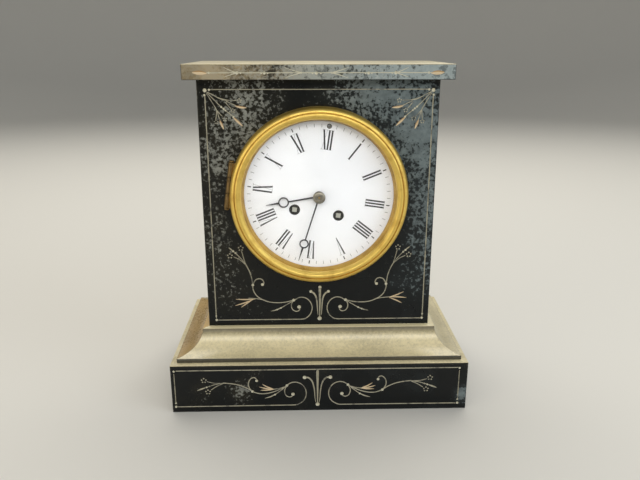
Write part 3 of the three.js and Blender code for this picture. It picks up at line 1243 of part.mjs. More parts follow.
const fixedSpan = [-BACK_KNUCKLE_LENGTH / 2, BACK_KNUCKLE_LENGTH / 2];
const doorSpan = [fixedSpan[1] + CLEARANCE, fixedSpan[1] + CLEARANCE + BACK_KNUCKLE_LENGTH];
const boreSpan = [doorSpan[0] - CUT_PAST, doorSpan[1] + CUT_PAST];
const backBore = upright(HINGE_PIN_RADIUS + CLEARANCE, [backHingeU, backHingeDepth], boreSpan);
place(movement, "back_ring", cut(
  fuse(
    tube(BACK_RING_OPENING, BACK_RING_RADIUS, [caseBack, ringBack], PLATE_SIDES),
    block(
      [backHingeU - BACK_LUG_HALF, ringBack - OVERLAP, fixedSpan[0]],
      [backHingeU + BACK_LUG_HALF, backHingeDepth, fixedSpan[1]],
    ),
    upright(BACK_KNUCKLE_RADIUS, [backHingeU, backHingeDepth], fixedSpan),
    upright(HINGE_PIN_RADIUS, [backHingeU, backHingeDepth], [0, doorSpan[1]]),
  ),
  ...[1, -1].map((side) => shifted(
    rod(STRAP_STUD_RADIUS + CLEARANCE, [caseBack - CUT_PAST, ringBack + CUT_PAST]),
    strapPlace(side),
  )),
), gilt);

const leafInner = doorRadius - BACK_LEAF_LAP;
const knobDepths = [doorDepths[0] + OVERLAP, doorDepths[1] + KNOB_HEIGHT];
place(movement, "back_door", cut(
  fuse(
    sheet(circle(doorRadius, centrePlace, PLATE_SIDES), doorDepths),
    block([leafInner, doorDepths[0], doorSpan[0]], [backHingeU, doorDepths[1], doorSpan[1]]),
    upright(BACK_KNUCKLE_RADIUS, [backHingeU, backHingeDepth], doorSpan),
    shifted(rod(KNOB_RADIUS, knobDepths), [KNOB_INSET - doorRadius, 0]),
  ),
  backBore,
), gilt);

export default clock;
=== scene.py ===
# %% [markdown]
# # A slate mantel clock, dressed for its portrait
#
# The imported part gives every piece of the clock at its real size. This lesson dresses it: slate with
# a grey bloom and gilt lines cut into it, a turned brass bezel, an enamel dial and blued hands. Each
# step says what the piece is on the real clock, how it could be made in Blender, and why it is made
# the way it is here. Lengths are in millimetres until they go into a mesh, which is in metres.

# %% Load the frame
import json
import math

import bmesh
import bpy
import numpy as np
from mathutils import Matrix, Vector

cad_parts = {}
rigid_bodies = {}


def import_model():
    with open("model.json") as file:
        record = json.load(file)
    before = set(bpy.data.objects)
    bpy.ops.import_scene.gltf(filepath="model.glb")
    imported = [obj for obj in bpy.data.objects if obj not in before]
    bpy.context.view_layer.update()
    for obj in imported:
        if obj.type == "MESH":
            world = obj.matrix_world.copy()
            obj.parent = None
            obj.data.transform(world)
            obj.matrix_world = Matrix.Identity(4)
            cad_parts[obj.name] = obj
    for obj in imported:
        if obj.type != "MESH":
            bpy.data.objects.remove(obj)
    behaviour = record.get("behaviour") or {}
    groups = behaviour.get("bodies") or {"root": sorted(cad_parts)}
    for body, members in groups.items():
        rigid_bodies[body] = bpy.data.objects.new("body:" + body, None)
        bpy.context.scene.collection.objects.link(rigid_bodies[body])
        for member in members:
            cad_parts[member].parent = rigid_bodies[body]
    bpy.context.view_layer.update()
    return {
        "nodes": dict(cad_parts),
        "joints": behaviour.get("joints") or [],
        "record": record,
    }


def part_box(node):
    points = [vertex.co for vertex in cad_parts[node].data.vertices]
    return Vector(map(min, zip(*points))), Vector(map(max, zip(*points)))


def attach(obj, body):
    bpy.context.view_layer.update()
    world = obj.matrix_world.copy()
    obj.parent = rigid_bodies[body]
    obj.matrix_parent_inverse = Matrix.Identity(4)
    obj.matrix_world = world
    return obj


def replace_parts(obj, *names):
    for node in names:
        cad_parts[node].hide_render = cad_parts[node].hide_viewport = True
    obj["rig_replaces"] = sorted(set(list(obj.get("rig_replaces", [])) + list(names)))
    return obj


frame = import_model()
joints = {joint["name"]: joint for joint in frame["joints"]}
slot_of = {part["node"]: part["material_slot"] for part in frame["record"]["subparts"]}
bodies = frame["record"]["behaviour"]["bodies"]
body_of = {node: body for body, members in bodies.items() for node in members}
MM = 0.001

# %% [markdown]
# ## Where things are
#
# The movement sits in the case a little turned, so that XII leans to the right. Its places are given
# across the dial, up the dial and behind the front of the case. The turn can be read from the hinge
# of the bezel, which stands upright on the dial, so nothing has to be measured twice.

# %% Places on the movement
dial_centre = np.array(joints["minute_hand_turn"]["pos_m"])
hinge_axis = joints["bezel_hinge"]["axis"]
dial_roll = math.atan2(-hinge_axis[0], -hinge_axis[2])
ACROSS = np.array([math.cos(dial_roll), 0, -math.sin(dial_roll)])
UP = np.array([math.sin(dial_roll), 0, math.cos(dial_roll)])
BEHIND = np.array([0, 1, 0])


def on_dial(across, up, behind):
    """The dial's centre plus so much of each of the movement's three directions, as points in metres."""
    across, up, behind = np.broadcast_arrays(across, up, behind)
    steps = across[..., None] * ACROSS + up[..., None] * UP + behind[..., None] * BEHIND
    return dial_centre + MM * steps


def level(node):
    """How far behind the case's front a node begins and ends, in millimetres."""
    low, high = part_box(node)
    return (low.y - dial_centre[1]) / MM, (high.y - dial_centre[1]) / MM


def reach(node):
    """A round node's radius about the dial's centre, in millimetres."""
    return (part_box(node)[1].z - dial_centre[2]) / MM


def place_of(point):
    """A point in metres, as millimetres across, up and behind the dial's centre."""
    step = (np.array(point) - dial_centre) / MM
    return step @ ACROSS, step @ UP, step @ BEHIND


def joint_place(name):
    """Where a joint's axis crosses the movement, as millimetres across, up and behind."""
    return place_of(joints[name]["pos_m"])


print(f"the movement is turned {math.degrees(dial_roll):.1f} degrees")

# %% [markdown]
# ## Camera
#
# The camera stands where the photographer stood: a little above the clock, close, and looking down.
# Its place and its lens were worked out from the corners of the case.

# %% Camera
CAMERA_PLACE = (-11.7, -502.4, 273.3)
CAMERA_YAW = 0.027
CAMERA_PITCH = -0.298
FOCAL_PIXELS = 633.5
PHOTO_WIDTH = 640
SENSOR_WIDTH = 36

camera_data = bpy.data.cameras.new("camera")
camera_data.sensor_width = SENSOR_WIDTH
camera_data.lens = FOCAL_PIXELS * SENSOR_WIDTH / PHOTO_WIDTH
camera = bpy.data.objects.new("camera", camera_data)
camera.location = [MM * v for v in CAMERA_PLACE]
camera.rotation_euler = (math.pi / 2 + CAMERA_PITCH, 0, -CAMERA_YAW)
bpy.context.scene.collection.objects.link(camera)
bpy.context.scene.camera = camera
bpy.context.scene.view_settings.view_transform = "Standard"
print(f"a lens of {camera_data.lens:.1f} mm")

# %% [markdown]
# ## Shapes as arrays
#
# Almost every piece of a clock is turned on a lathe, sawn as a slab or cut along a line. So three
# kinds of surface are enough, and each is a formula on a grid of points: a profile turned about an
# axis, a slab with rounded arrises, and a bar carried along a line. A shape here is an array of
# points, a list of faces and one material number for each face.

# %% Grids, lathe work and slabs
CORNER_STEPS = 3
LONGEST_SHARE = 0.45
NO_LENGTH = 1e-9


def grid_faces(rows, columns, close_rows=False):
    """The quads of a grid numbered row by row, whose columns always close into a ring."""
    starts = np.arange(rows if close_rows else rows - 1)
    row, column = np.meshgrid(starts, np.arange(columns), indexing="ij")
    below = (row + 1) % rows
    after = (column + 1) % columns
    corners = [(row, column), (row, after), (below, after), (below, column)]
    return np.stack([r * columns + c for r, c in corners], axis=-1).reshape(-1, 4).tolist()


def end_caps(rows, columns):
    """The first and the last row of a grid, each closed by one face."""
    return [list(range(columns))[::-1], list(range((rows - 1) * columns, rows * columns))]


def shape(points, faces, numbers=None):
    """Gathers a surface's points, its faces and the material number of each face."""
    return np.reshape(points, (-1, 3)), faces, numbers or [0] * len(faces)


def rounded(corners, radius, closed=True):
    """Each corner becomes a short parabola that starts and ends one radius along its two sides.

    On a short side it takes a little less than half, so that two corners never meet.
    """
    p = np.array(corners, float)
    before, after = np.roll(p, 1, axis=0) - p, np.roll(p, -1, axis=0) - p
    t = np.linspace(0, 1, CORNER_STEPS + 1)[None, :, None]

    def away(side):
        length = np.maximum(np.linalg.norm(side, axis=1, keepdims=True), NO_LENGTH)
        return p + side * np.minimum(radius / length, LONGEST_SHARE)

    start, end = away(before)[:, None], away(after)[:, None]
    curves = (1 - t) ** 2 * start + 2 * t * (1 - t) * p[:, None] + t**2 * end
    if closed:
        return curves.reshape(-1, 2)
    return np.vstack([p[:1], curves[1:-1].reshape(-1, 2), p[-1:]])


def turned(profile, place=(0, 0, 0), upright=False, segments=128, closed=True):
    """A profile of radius and distance, turned about an axis through a place on the movement.

    Each point goes round a circle of its radius. The axis runs back through the case or, if upright,
    up the dial. A closed profile makes a ring, and an open one starts and ends on the axis.
    """
    radius, along = np.array(profile, float).T[:, :, None]
    angle = np.linspace(0, 2 * math.pi, segments, endpoint=False)[None]
    one, two = radius * np.sin(angle), radius * np.cos(angle)
    along = along + 0 * angle
    across, up, behind = place
    if upright:
        points = on_dial(across + one, up + along, behind + two)
    else:
        points = on_dial(across + one, up + two, behind + along)
    return shape(points, grid_faces(len(profile), segments, close_rows=closed))


def rod(radius, low, high, place=(0, 0, 0), ease=0, upright=False, segments=128):
    """A round rod between two distances along its axis, with its two edges eased if asked."""
    profile = [(0, low), (radius, low), (radius, high), (0, high)]
    if ease:
        profile = rounded(profile, ease, closed=False)
    return turned(profile, place, upright, segments, closed=False)


def slab(low, high, arris, steps=3):
    """A sphere whose eight parts are moved out to the corners of a box.

    The box is the sphere's radius smaller on every side, so the sphere's parts become round arrises
    and corners between flat faces. The round parts take material 1 and the flat faces material 0.
    """
    low, high = np.array(low), np.array(high)
    turn = np.linspace(0, math.pi / 2, steps + 1)
    around = (turn[None] + np.arange(4)[:, None] * math.pi / 2).ravel()
    tilt = np.concatenate([turn - math.pi / 2, turn])
    sign_x = np.repeat([1, -1, -1, 1], steps + 1)
    sign_y = np.repeat([1, 1, -1, -1], steps + 1)
    sign_z = np.repeat([-1, 1], steps + 1)
    tilt, around = tilt[:, None], around[None]
    middle, half = (low + high) / 2, (high - low) / 2 - arris
    points = np.stack([
        middle[0] + half[0] * sign_x + arris * np.cos(tilt) * np.cos(around),
        middle[1] + half[1] * sign_y + arris * np.cos(tilt) * np.sin(around),
        middle[2] + half[2] * sign_z[:, None] + arris * np.sin(tilt) + 0 * around,
    ], axis=-1)
    rows, columns = len(tilt), around.size
    faces = grid_faces(rows, columns)
    row, column = np.divmod(np.arange(len(faces)), columns)
    flat = (row == steps) & (column % (steps + 1) == steps)
    return shape(points * MM, faces + end_caps(rows, columns), (~flat).astype(int).tolist() + [0, 0])


def box_of(node):
    """A node's two corners in millimetres."""
    return [np.array(corner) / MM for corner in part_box(node)]


print("a rounded slab has", len(slab((0, 0, 0), (9, 9, 9), 1)[1]), "faces")


# %% [markdown]
# ## From shapes to pieces
#
# A shape becomes a mesh, and meshes can be joined or cut with Blender's Boolean modifier. Its
# Manifold solver is fast and exact on closed meshes, and it keeps the material of each cut face, so a
# groove comes out gilded by itself. The finished mesh is shaded smooth up to a set angle, and the
# piece then rides on the body of the node that it stands for.


# %% Meshes and pieces
SAME_POINT = 1e-7


def as_mesh(surface, materials):
    """Puts a shape into a mesh, joins doubled points and turns its faces outwards."""
    points, faces, numbers = surface
    mesh = bpy.data.meshes.new("surface")
    mesh.from_pydata(points.tolist(), [], faces)
    for material in materials:
        mesh.materials.append(material)
    mesh.polygons.foreach_set("material_index", numbers)
    work = bmesh.new()
    work.from_mesh(mesh)
    bmesh.ops.remove_doubles(work, verts=work.verts, dist=SAME_POINT)
    bmesh.ops.dissolve_degenerate(work, edges=work.edges, dist=SAME_POINT)
    bmesh.ops.recalc_face_normals(work, faces=work.faces)
    work.to_mesh(mesh)
    work.free()
    return mesh


def worked(mesh, operation, tools):
    """The mesh after it has been cut by, or joined with, each tool in turn."""
    blank = bpy.data.objects.new("blank", mesh)
    bpy.context.scene.collection.objects.link(blank)
    helpers = [bpy.data.objects.new("tool", tool) for tool in tools]
    for helper in helpers:
        bpy.context.scene.collection.objects.link(helper)
        modifier = blank.modifiers.new("work", "BOOLEAN")
        modifier.operation = operation
        modifier.solver = "MANIFOLD"
        modifier.material_mode = "INDEX"
        modifier.object = helper
    view = bpy.context.evaluated_depsgraph_get()
    result = bpy.data.meshes.new_from_object(blank.evaluated_get(view), depsgraph=view)
    for helper in [blank, *helpers]:
        bpy.data.objects.remove(helper)
    return result


def piece(name, mesh, node, stands_for=True, sharp=35):
    """Makes a finished mesh an object of its own that rides on its node's body."""
    mesh.name = name
    mesh.shade_smooth()
    mesh.set_sharp_from_angle(angle=math.radians(sharp))
    made = bpy.data.objects.new(name, mesh)
    bpy.context.scene.collection.objects.link(made)
    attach(made, body_of[node])
    if stands_for:
        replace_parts(made, node)
    return made


print(f"points closer than {SAME_POINT / MM:.4f} mm become one")


# %% [markdown]
# ## Finishes as sums
#
# A finish is a material made of nodes. Wiring nodes one by one is slow to read, so one small class
# wraps a socket and lets Python's own signs add the Math nodes. Any other node comes from one method.
# Patterns read the Object coordinates, which are the frame's own metres, so a pattern stays put when
# its piece moves. Colours are written as they are seen, from 0 to 255.


# %% Wires and finishes
def seen(red, green, blue):
    """A colour as it is seen, turned into the linear values that a shader works with."""
    share = np.array([red, green, blue]) / 255
    linear = np.where(share <= 0.04045, share / 12.92, ((share + 0.055) / 1.055) ** 2.4)
    return (*linear.tolist(), 1.0)


def plug(entry, value):
    """Links a wire to a socket, or sets the socket to a plain value."""
    if isinstance(value, Wire):
        entry.id_data.links.new(value.socket, entry)
    else:
        entry.default_value = value


class Wire:
    """An output socket that can be used in sums. Each sign adds one Math node."""

    def __init__(self, socket):
        self.socket = socket

    def _math(self, operation, first, second):
        node = self.socket.id_data.nodes.new("ShaderNodeMath")
        node.operation = operation
        plug(node.inputs[0], first)
        plug(node.inputs[1], second)
        return Wire(node.outputs[0])

    def __add__(self, other):
        return self._math("ADD", self, other)

    def __radd__(self, other):
        return self._math("ADD", other, self)

    def __sub__(self, other):
        return self._math("SUBTRACT", self, other)

    def __rsub__(self, other):
        return self._math("SUBTRACT", other, self)

    def __mul__(self, other):
        return self._math("MULTIPLY", self, other)

    def __rmul__(self, other):
        return self._math("MULTIPLY", other, self)


class Finish:
    """One procedural material, with its Principled shader and its Object coordinates at hand."""

    def __init__(self, name):
        self.material = bpy.data.materials.new(name)
        self.material.use_nodes = True
        self.tree = self.material.node_tree
        self.shader = self.tree.nodes["Principled BSDF"]
        self.point = self.add("ShaderNodeTexCoord", output="Object")

    def add(self, kind, settings=None, sockets=None, output=0):
        """Adds a node: its settings first, then the values or wires of its sockets."""
        node = self.tree.nodes.new(kind)
        for key, value in (settings or {}).items():
            setattr(node, key, value)
        entries = {entry.identifier: entry for entry in node.inputs}
        for key, value in (sockets or {}).items():
            plug(entries[key], value)
        return Wire(node.outputs[output])

    def set(self, **sockets):
        """Sets the shader's sockets; an underscore in a name stands for a space."""
        for key, value in sockets.items():
            plug(self.shader.inputs[key.replace("_", " ")], value)

    def noise(self, size, detail=3, roughness=0.55, seed=0.0):
        """Soft noise from 0 to 1 whose largest features measure about size millimetres."""
        sockets = {"Vector": self.point, "W": seed, "Scale": 1 / (size * MM)}
        sockets |= {"Detail": detail, "Roughness": roughness}
        return self.add("ShaderNodeTexNoise", {"noise_dimensions": "4D"}, sockets)

    def step(self, value, low, high):
        """A smooth step from 0 at low to 1 at high."""
        sockets = {"Value": value, "From Min": low, "From Max": high}
        return self.add("ShaderNodeMapRange", {"interpolation_type": "SMOOTHSTEP"}, sockets)

    def mix(self, share, first, second):
        """A colour that goes from the first to the second as share goes from 0 to 1."""
        sockets = {"Factor_Float": share, "A_Color": first, "B_Color": second}
        return self.add("ShaderNodeMix", {"data_type": "RGBA"}, sockets, "Result")

    def distance(self, point, centre):
        """How far a wired point is from a centre, in metres."""
        sockets = {"Vector": point, "Vector_001": centre}
        return self.add("ShaderNodeVectorMath", {"operation": "DISTANCE"}, sockets, "Value")

    def spot(self, centre, radius):
        """1 at a point in millimetres, falling smoothly to 0 at the radius."""
        away = self.distance(self.point, [MM * v for v in centre])
        return 1 - self.step(away, 0.0, MM * radius)

    def axis(self, name):
        """One of the Object coordinates, in metres."""
        return self.add("ShaderNodeSeparateXYZ", None, {"Vector": self.point}, name)

    def upwards(self):
        """How far the surface faces up, from -1 to 1."""
        normal = self.add("ShaderNodeTexCoord", output="Normal")
        return self.add("ShaderNodeSeparateXYZ", None, {"Vector": normal}, "Z")

    def bump(self, height, strength, distance):
        """A bump of so many millimetres on the shader's normal."""
        sockets = {"Height": height, "Strength": strength, "Distance": MM * distance}
        self.set(Normal=self.add("ShaderNodeBump", None, sockets))


print("red 128 is", round(seen(128, 0, 0)[0], 3), "in linear light")

# %% [markdown]
# ## Slate
#
# Polished slate is nearly black, with a slight green. With age it grows a grey bloom, in flecks of a
# millimetre or two that run together into clouds, here thick at the top corners and thin low down.
# A warm cream film lies on whatever faces up: partly dust and old wax, partly a painted sheen of the
# bright light from above. The haze and the bloom are painted light too, warm at the left and cool at
# the right, as a warm lamp and a cool window would light them. All three come from noise: fine noise
# cut off at a threshold makes the flecks, and a map of soft round patches moves the threshold up or
# down.

# %% Slate as a formula
SLATE_DEEP = seen(13, 16, 17)
# Warm and cool pairs here are painted light: the same slate as lit by a warm lamp at the left and by a cool
# window at the right.
SLATE_VEIL_WARM_LIGHT = seen(42, 39, 28)
SLATE_VEIL_COOL_LIGHT = seen(40, 46, 48)
BLOOM_WARM_LIGHT = seen(152, 154, 146)
BLOOM_COOL_LIGHT = seen(119, 131, 133)
# Dust and old wax, made pale as a painted sheen of the bright light from above.
DUST_AND_SHEEN_CREAM = seen(230, 216, 174)
# The left length's film: dust tinted as painted warm lamplight.
DUST_IN_WARM_LAMPLIGHT = seen(204, 166, 92)
SLAB_VEIL_WARM_LIGHT = seen(157, 142, 112)
SLAB_VEIL_COOL_LIGHT = seen(194, 203, 200)
ARRIS_WARM_LIGHT = seen(66, 63, 53)
ARRIS_COOL_LIGHT = seen(74, 79, 80)
CLOUD_SIZE, TONE_SIZE, FLECK_SIZE, DUST_SIZE, GRAIN_SIZE = 24, 6, 2.3, 1.8, 0.7
WARM_LIGHT_END, COOL_LIGHT_END = -0.06, 0.06
WHOLE_END, BROKEN_END = -0.085, -0.025
DUST_SHEEN_EDGE = 0.6


def bloom_cover(finish, patches, least, cloud, tone):
    """How thick the bloom is: a sum of soft round patches, broken up by two sizes of noise."""
    cover = least
    for centre, radius, weight in patches:
        cover = finish.spot(centre, radius) * weight + cover
    return cover * (cloud * 1.2 + tone * 0.9 - 0.05)


def dust_and_sheen_cover(finish, level_face, dust_sheen_span):
    """Where dust and wax lie: on level faces or, given two heights, from the first one up.

    Above the second height, and wherever the face turns up, they lie thicker. Part of this is a
    painted sheen of the light from above: the ledge is painted paler and the steep top of the hollow
    darker, as light falls on them.
    """
    if dust_sheen_span is None:
        return level_face
    height = finish.axis("Z")
    above, ledge = (finish.step(height, MM * start, MM * (start + DUST_SHEEN_EDGE)) for start in dust_sheen_span)
    # Painted light: the ledge and the faces that turn up take more of the pale sheen, the steep top of the
    # hollow less.
    return above * (finish.step(finish.upwards(), 0.05, 0.55) * 0.8 + ledge * 0.7 + 0.16) + 0.06


def slate_finish(name, patches, least=0.1, dust_and_sheen=0.5, dust_sheen_span=None, dust_sheen_colour=DUST_AND_SHEEN_CREAM, gloss=0.26,
                 veil=(SLATE_VEIL_WARM_LIGHT, SLATE_VEIL_COOL_LIGHT), breaks=0.0, seed=0.0):
    """Black slate: patches of bloom as (centre, radius, weight), and a warm film where it faces up.

    Bloom shows where fine noise passes a threshold, which sinks as the cover grows. The veil is the
    haze between the flecks. Its colours and the bloom's are painted light, warm at the left of the clock
    and cool at the right. The warm film is partly dust and wax, partly a painted sheen of the light from
    above. Where breaks isn't 0, the dark slate shows through the veil in ragged spots, except at the
    left.
    """
    finish = Finish(name)
    cloud = finish.noise(CLOUD_SIZE, detail=4, seed=seed)
    tone = finish.noise(TONE_SIZE, detail=4, roughness=0.7, seed=seed + 5)
    fleck = finish.noise(FLECK_SIZE, detail=5, roughness=0.62, seed=seed + 3)
    dust = finish.noise(DUST_SIZE, detail=4, roughness=0.75, seed=seed + 7)
    grain = finish.noise(GRAIN_SIZE, detail=2, seed=seed + 11)
    # Painted light: 0 at the left, where the warm lamp's colour is painted, to 1 at the right, where the cool
    # window's is.
    side = finish.step(finish.axis("X"), WARM_LIGHT_END, COOL_LIGHT_END)
    level_face = finish.step(finish.upwards(), 0.05, 0.75)

    cover = bloom_cover(finish, patches, least, cloud, tone)
    edge = 0.73 - cover * 0.36
    bloom = finish.step(fleck, edge, edge + 0.12)
    strength = bloom * (tone * 1.3 - 0.05) * finish.step(cover, -0.3, 0.9)
    haze = finish.step(cover, 0.1, 1.2) * 0.85 + finish.step(cloud, 0.45, 0.8) * 0.35
    haze = haze * (1 - level_face * 0.8)
    if breaks:
        open_side = finish.step(finish.axis("X"), WHOLE_END, BROKEN_END)
        thin = 1 - finish.step(tone + fleck * 0.5, 0.66, 0.76)
        haze = haze * (1 - thin * open_side * breaks)
        strength = strength * (open_side * 0.7 + 0.3)

    # The veil and the bloom take painted warm light at the left and painted cool light at the right.
    ground = finish.mix(haze, SLATE_DEEP, finish.mix(side, *veil))
    body = finish.mix(strength, ground, finish.mix(side, BLOOM_WARM_LIGHT, BLOOM_COOL_LIGHT))
    # Where dust and wax lie, partly real and partly a painted sheen of the light from above.
    dust_and_sheen_share = dust_and_sheen_cover(finish, level_face, dust_sheen_span) * (dust * 1.1 + cloud * 0.7 + 0.1) * dust_and_sheen
    finish.set(Base_Color=finish.mix(dust_and_sheen_share, body, dust_sheen_colour))
    finish.set(Roughness=bloom * 0.16 + dust_and_sheen_share * 0.1 + 0.22, Specular_IOR_Level=gloss)
    finish.bump(grain + bloom * 0.8, 0.2, 0.03)
    return finish.material


print("slate of", [round(v, 3) for v in SLATE_DEEP[:3]], "in linear light")


# %% Slate of each slab
def upright_patches(depth, rows):
    """Patches of bloom on an upright face, each given as x, z, radius and weight."""
    return [((x, depth, z), radius, weight) for x, z, radius, weight in rows]


FRONT_PATCHES = upright_patches(-39, [
    (66, 236, 60, 0.78), (22, 246, 42, 0.58), (74, 196, 44, 0.66), (82, 150, 44, 0.68), (80, 104, 42, 0.5),
    (-54, 230, 58, 0.66), (-76, 186, 38, 0.52), (-80, 140, 40, 0.5), (-76, 98, 38, 0.36), (-56, 74, 32, 0.2),
])
SLAB_PATCHES = upright_patches(-48, [(92, 256, 70, 1.0), (4, 256, 76, 0.6), (-92, 256, 66, 0.54)])
SLAB_PATCHES.append(((0, 20, 261), 110, 0.3))
PLINTH_PATCHES = upright_patches(-67, [
    (-62, 17, 20, 0.8), (-90, 12, 22, 0.35), (-48, 34, 16, 0.4), (112, 12, 14, 0.9), (60, 30, 40, 0.2),
])
SIDE_PATCHES = [((-87, 0, 225), 70, 0.6), ((87, 0, 225), 70, 0.7), ((0, 40, 235), 80, 0.5)]
MOULDING_SPAN = (43.1, 59.9)
# Painted light on each length: the front, which faces the light, takes the most pale sheen and the back the
# least, and the left takes a warm lamp's colour.
MOULDING_DUST_AND_SHEEN = {
    "front": (0.86, DUST_AND_SHEEN_CREAM, 80),
    "right": (0.66, DUST_AND_SHEEN_CREAM, 90),
    "back": (0.5, DUST_AND_SHEEN_CREAM, 100),
    "left": (0.57, DUST_IN_WARM_LAMPLIGHT, 110),
}

slate_front = slate_finish("slate_front", FRONT_PATCHES, least=0.18, gloss=0.22)
slate_slab = slate_finish("slate_slab", SLAB_PATCHES, least=0.4, dust_and_sheen=0.68,
                          veil=(SLAB_VEIL_WARM_LIGHT, SLAB_VEIL_COOL_LIGHT), breaks=0.8, seed=20)
slate_plinth = slate_finish("slate_plinth", PLINTH_PATCHES, dust_and_sheen=0.82, seed=40)
slate_sides = slate_finish("slate_sides", SIDE_PATCHES, least=0.3, seed=60)
# The arrises are paler, with more bloom and film: partly worn chips, partly a painted highlight where the
# rounded edges catch the light.
arris = slate_finish("slate_arris", [], least=0.5, dust_and_sheen=0.85, veil=(ARRIS_WARM_LIGHT, ARRIS_COOL_LIGHT), seed=70)
moulding_finishes = {
    side: slate_finish(f"slate_moulding_{side}", [], dust_and_sheen=dust_and_sheen, dust_sheen_span=MOULDING_SPAN, dust_sheen_colour=dust_sheen_colour,
                       gloss=0.9, seed=seed)
    for side, (dust_and_sheen, dust_sheen_colour, seed) in MOULDING_DUST_AND_SHEEN.items()
}
print("slate finishes:", [m.name for m in bpy.data.materials if m.name.startswith("slate")])


# %% [markdown]
# ## Gilding
#
# Gold was laid into the cut lines, and it has dulled to the colour of straw. One flat colour would look
# painted, because worn gilding is never even. So noise picks ragged flecks that have lost their gold.
# The wide leaves have kept a warmer gold, painted with light and shade: paler on the side of the cut
# that faces up, as painted light, and darker on the side above it, as painted shade.


# %% Gilding
def worn_finish(name, ground, worn, threshold, size, metal=0.0, roughness=0.45, gloss=0.5):
    """Two colours in ragged flecks: the worn one shows where noise passes a threshold."""
    finish = Finish(name)
    flecks = finish.noise(size, detail=5, roughness=0.7)
    bare = finish.step(flecks, threshold, threshold + 0.14)
    finish.set(Base_Color=finish.mix(bare, ground, worn))
    finish.set(Metallic=(1 - bare) * metal, Roughness=bare * 0.15 + roughness, Specular_IOR_Level=gloss)
    finish.bump(flecks, 0.2, 0.03)
    return finish.material


def leaf_finish(name, lit, shaded):
    """Gilding in a wide cut: the lower side, facing up, is painted lit and the side above it painted shaded.
    """
    finish = Finish(name)
    flecks = finish.noise(3, detail=4, roughness=0.7)
    # Painted light and shade: faces turned up take the lit colour, faces turned down the shaded one.
    facing = finish.step(finish.upwards() + flecks * 0.3, -0.1, 0.2)
    finish.set(Base_Color=finish.mix(facing, shaded, lit), Metallic=0.1, Roughness=flecks * 0.2 + 0.35)
    finish.bump(flecks, 0.2, 0.03)
    return finish.material


gilding = worn_finish("gilding", seen(172, 167, 147), seen(106, 104, 95), 0.5, 8, metal=0.15)
bead_gilding = worn_finish("bead_gilding", seen(200, 196, 176), seen(152, 149, 135), 0.55, 6, metal=0.1)
leaf_gilding = leaf_finish("leaf_gilding", seen(214, 196, 163), seen(177, 141, 96))
print("gilding goes into the cut lines")

# %% [markdown]
# ## Metals
#
# The bezel and the back are gilt brass, turned on a lathe, so fine rings run round them. A ring is a
# line of equal distance from the dial's axis, so noise along that distance alone gives the turning
# marks. The tarnish is a slower noise that moves both the colour and the roughness.


# %% Metal finishes
RINGS_PER_METRE = 2600
IN_PLANE = np.array([1, 0, 1])


def metal_finish(name, bright, tarnish, roughness, patch=9, marks=0.0):
    """Metal with patches of tarnish and, where marks isn't 0, turning marks round the dial's axis."""
    finish = Finish(name)
    dull = finish.step(finish.noise(patch, detail=4, roughness=0.6), 0.42, 0.74)
    fine = finish.noise(0.5, detail=2, seed=5)
    finish.set(Base_Color=finish.mix(dull, seen(*bright), seen(*tarnish)), Metallic=1.0)
    finish.set(Roughness=dull * 0.14 + fine * 0.08 + roughness)
    if marks:
        masked = {"Vector": finish.point, "Vector_001": IN_PLANE}
        flat = finish.add("ShaderNodeVectorMath", {"operation": "MULTIPLY"}, masked)
        along = finish.distance(flat, dial_centre * IN_PLANE) * RINGS_PER_METRE
        rings = finish.add("ShaderNodeTexNoise", {"noise_dimensions": "1D"}, {"W": along, "Detail": 2.0})
        finish.bump(rings, marks, 0.02)
    else:
        finish.bump(fine, 0.12, 0.02)
    return finish.material


METALS = {
    "gilt": dict(bright=(234, 202, 108), tarnish=(212, 175, 88), roughness=0.38, marks=0.08),
    # The sight ring's gilt is painted darker and browner: painted shade and a dark painted reflection inside
    # the bezel.
    "gilt_in_painted_shade": dict(bright=(196, 156, 72), tarnish=(164, 126, 54), roughness=0.26, marks=0.08),
    "brass": dict(bright=(204, 176, 116), tarnish=(150, 124, 78), roughness=0.28),
    # Brass darkened as painted shade, for the hinge and the seat that lie in shadow behind the bezel.
    "shade_darkened_brass": dict(bright=(130, 107, 70), tarnish=(85, 68, 43), roughness=0.36, patch=4),
    "bell_metal": dict(bright=(196, 168, 116), tarnish=(140, 114, 74), roughness=0.24, marks=0.12),
    "steel": dict(bright=(176, 176, 174), tarnish=(120, 118, 114), roughness=0.3),
    "aged_steel": dict(bright=(148, 142, 126), tarnish=(88, 82, 70), roughness=0.3, patch=3),
    "blued_steel": dict(bright=(44, 46, 54), tarnish=(66, 64, 62), roughness=0.3, patch=3),
}
metals = {name: metal_finish(name, **look) for name, look in METALS.items()}
print("metals:", ", ".join(metals))

# %% [markdown]
# ## Enamel, ink and glass
#
# The dial is white glass fired onto copper: bright, glossy and very slightly uneven. Its figures are
# black enamel painted on top. The domed glass in the bezel is clear. It casts no shadow here, because
# real glass that thin takes almost no light away from the dial.


# %% Enamel, ink and glass
def enamel_finish(name, clean, aged):
    """White enamel that ages to cream in slow clouds, under a glossy, gently rippled surface."""
    finish = Finish(name)
    clouds = finish.noise(30, detail=2)
    finish.set(Base_Color=finish.mix(finish.step(clouds, 0.3, 0.8), clean, aged))
    finish.set(Roughness=clouds * 0.08 + 0.1)
    finish.bump(finish.noise(6, detail=1), 0.08, 0.05)
    return finish.material


def glass_finish(name):
    """Clear glass with a few faint smears in its polish."""
    finish = Finish(name)
    smear = finish.noise(18, detail=3)
    finish.set(Base_Color=(0.98, 0.985, 0.985, 1), Transmission_Weight=1.0, IOR=1.45)
    finish.set(Roughness=finish.step(smear, 0.6, 0.9) * 0.05)
    return finish.material


enamel = enamel_finish("enamel", seen(248, 249, 253), seen(245, 246, 249))
ink = worn_finish("dial_ink", seen(30, 30, 34), seen(58, 58, 62), 0.66, 3, roughness=0.3)
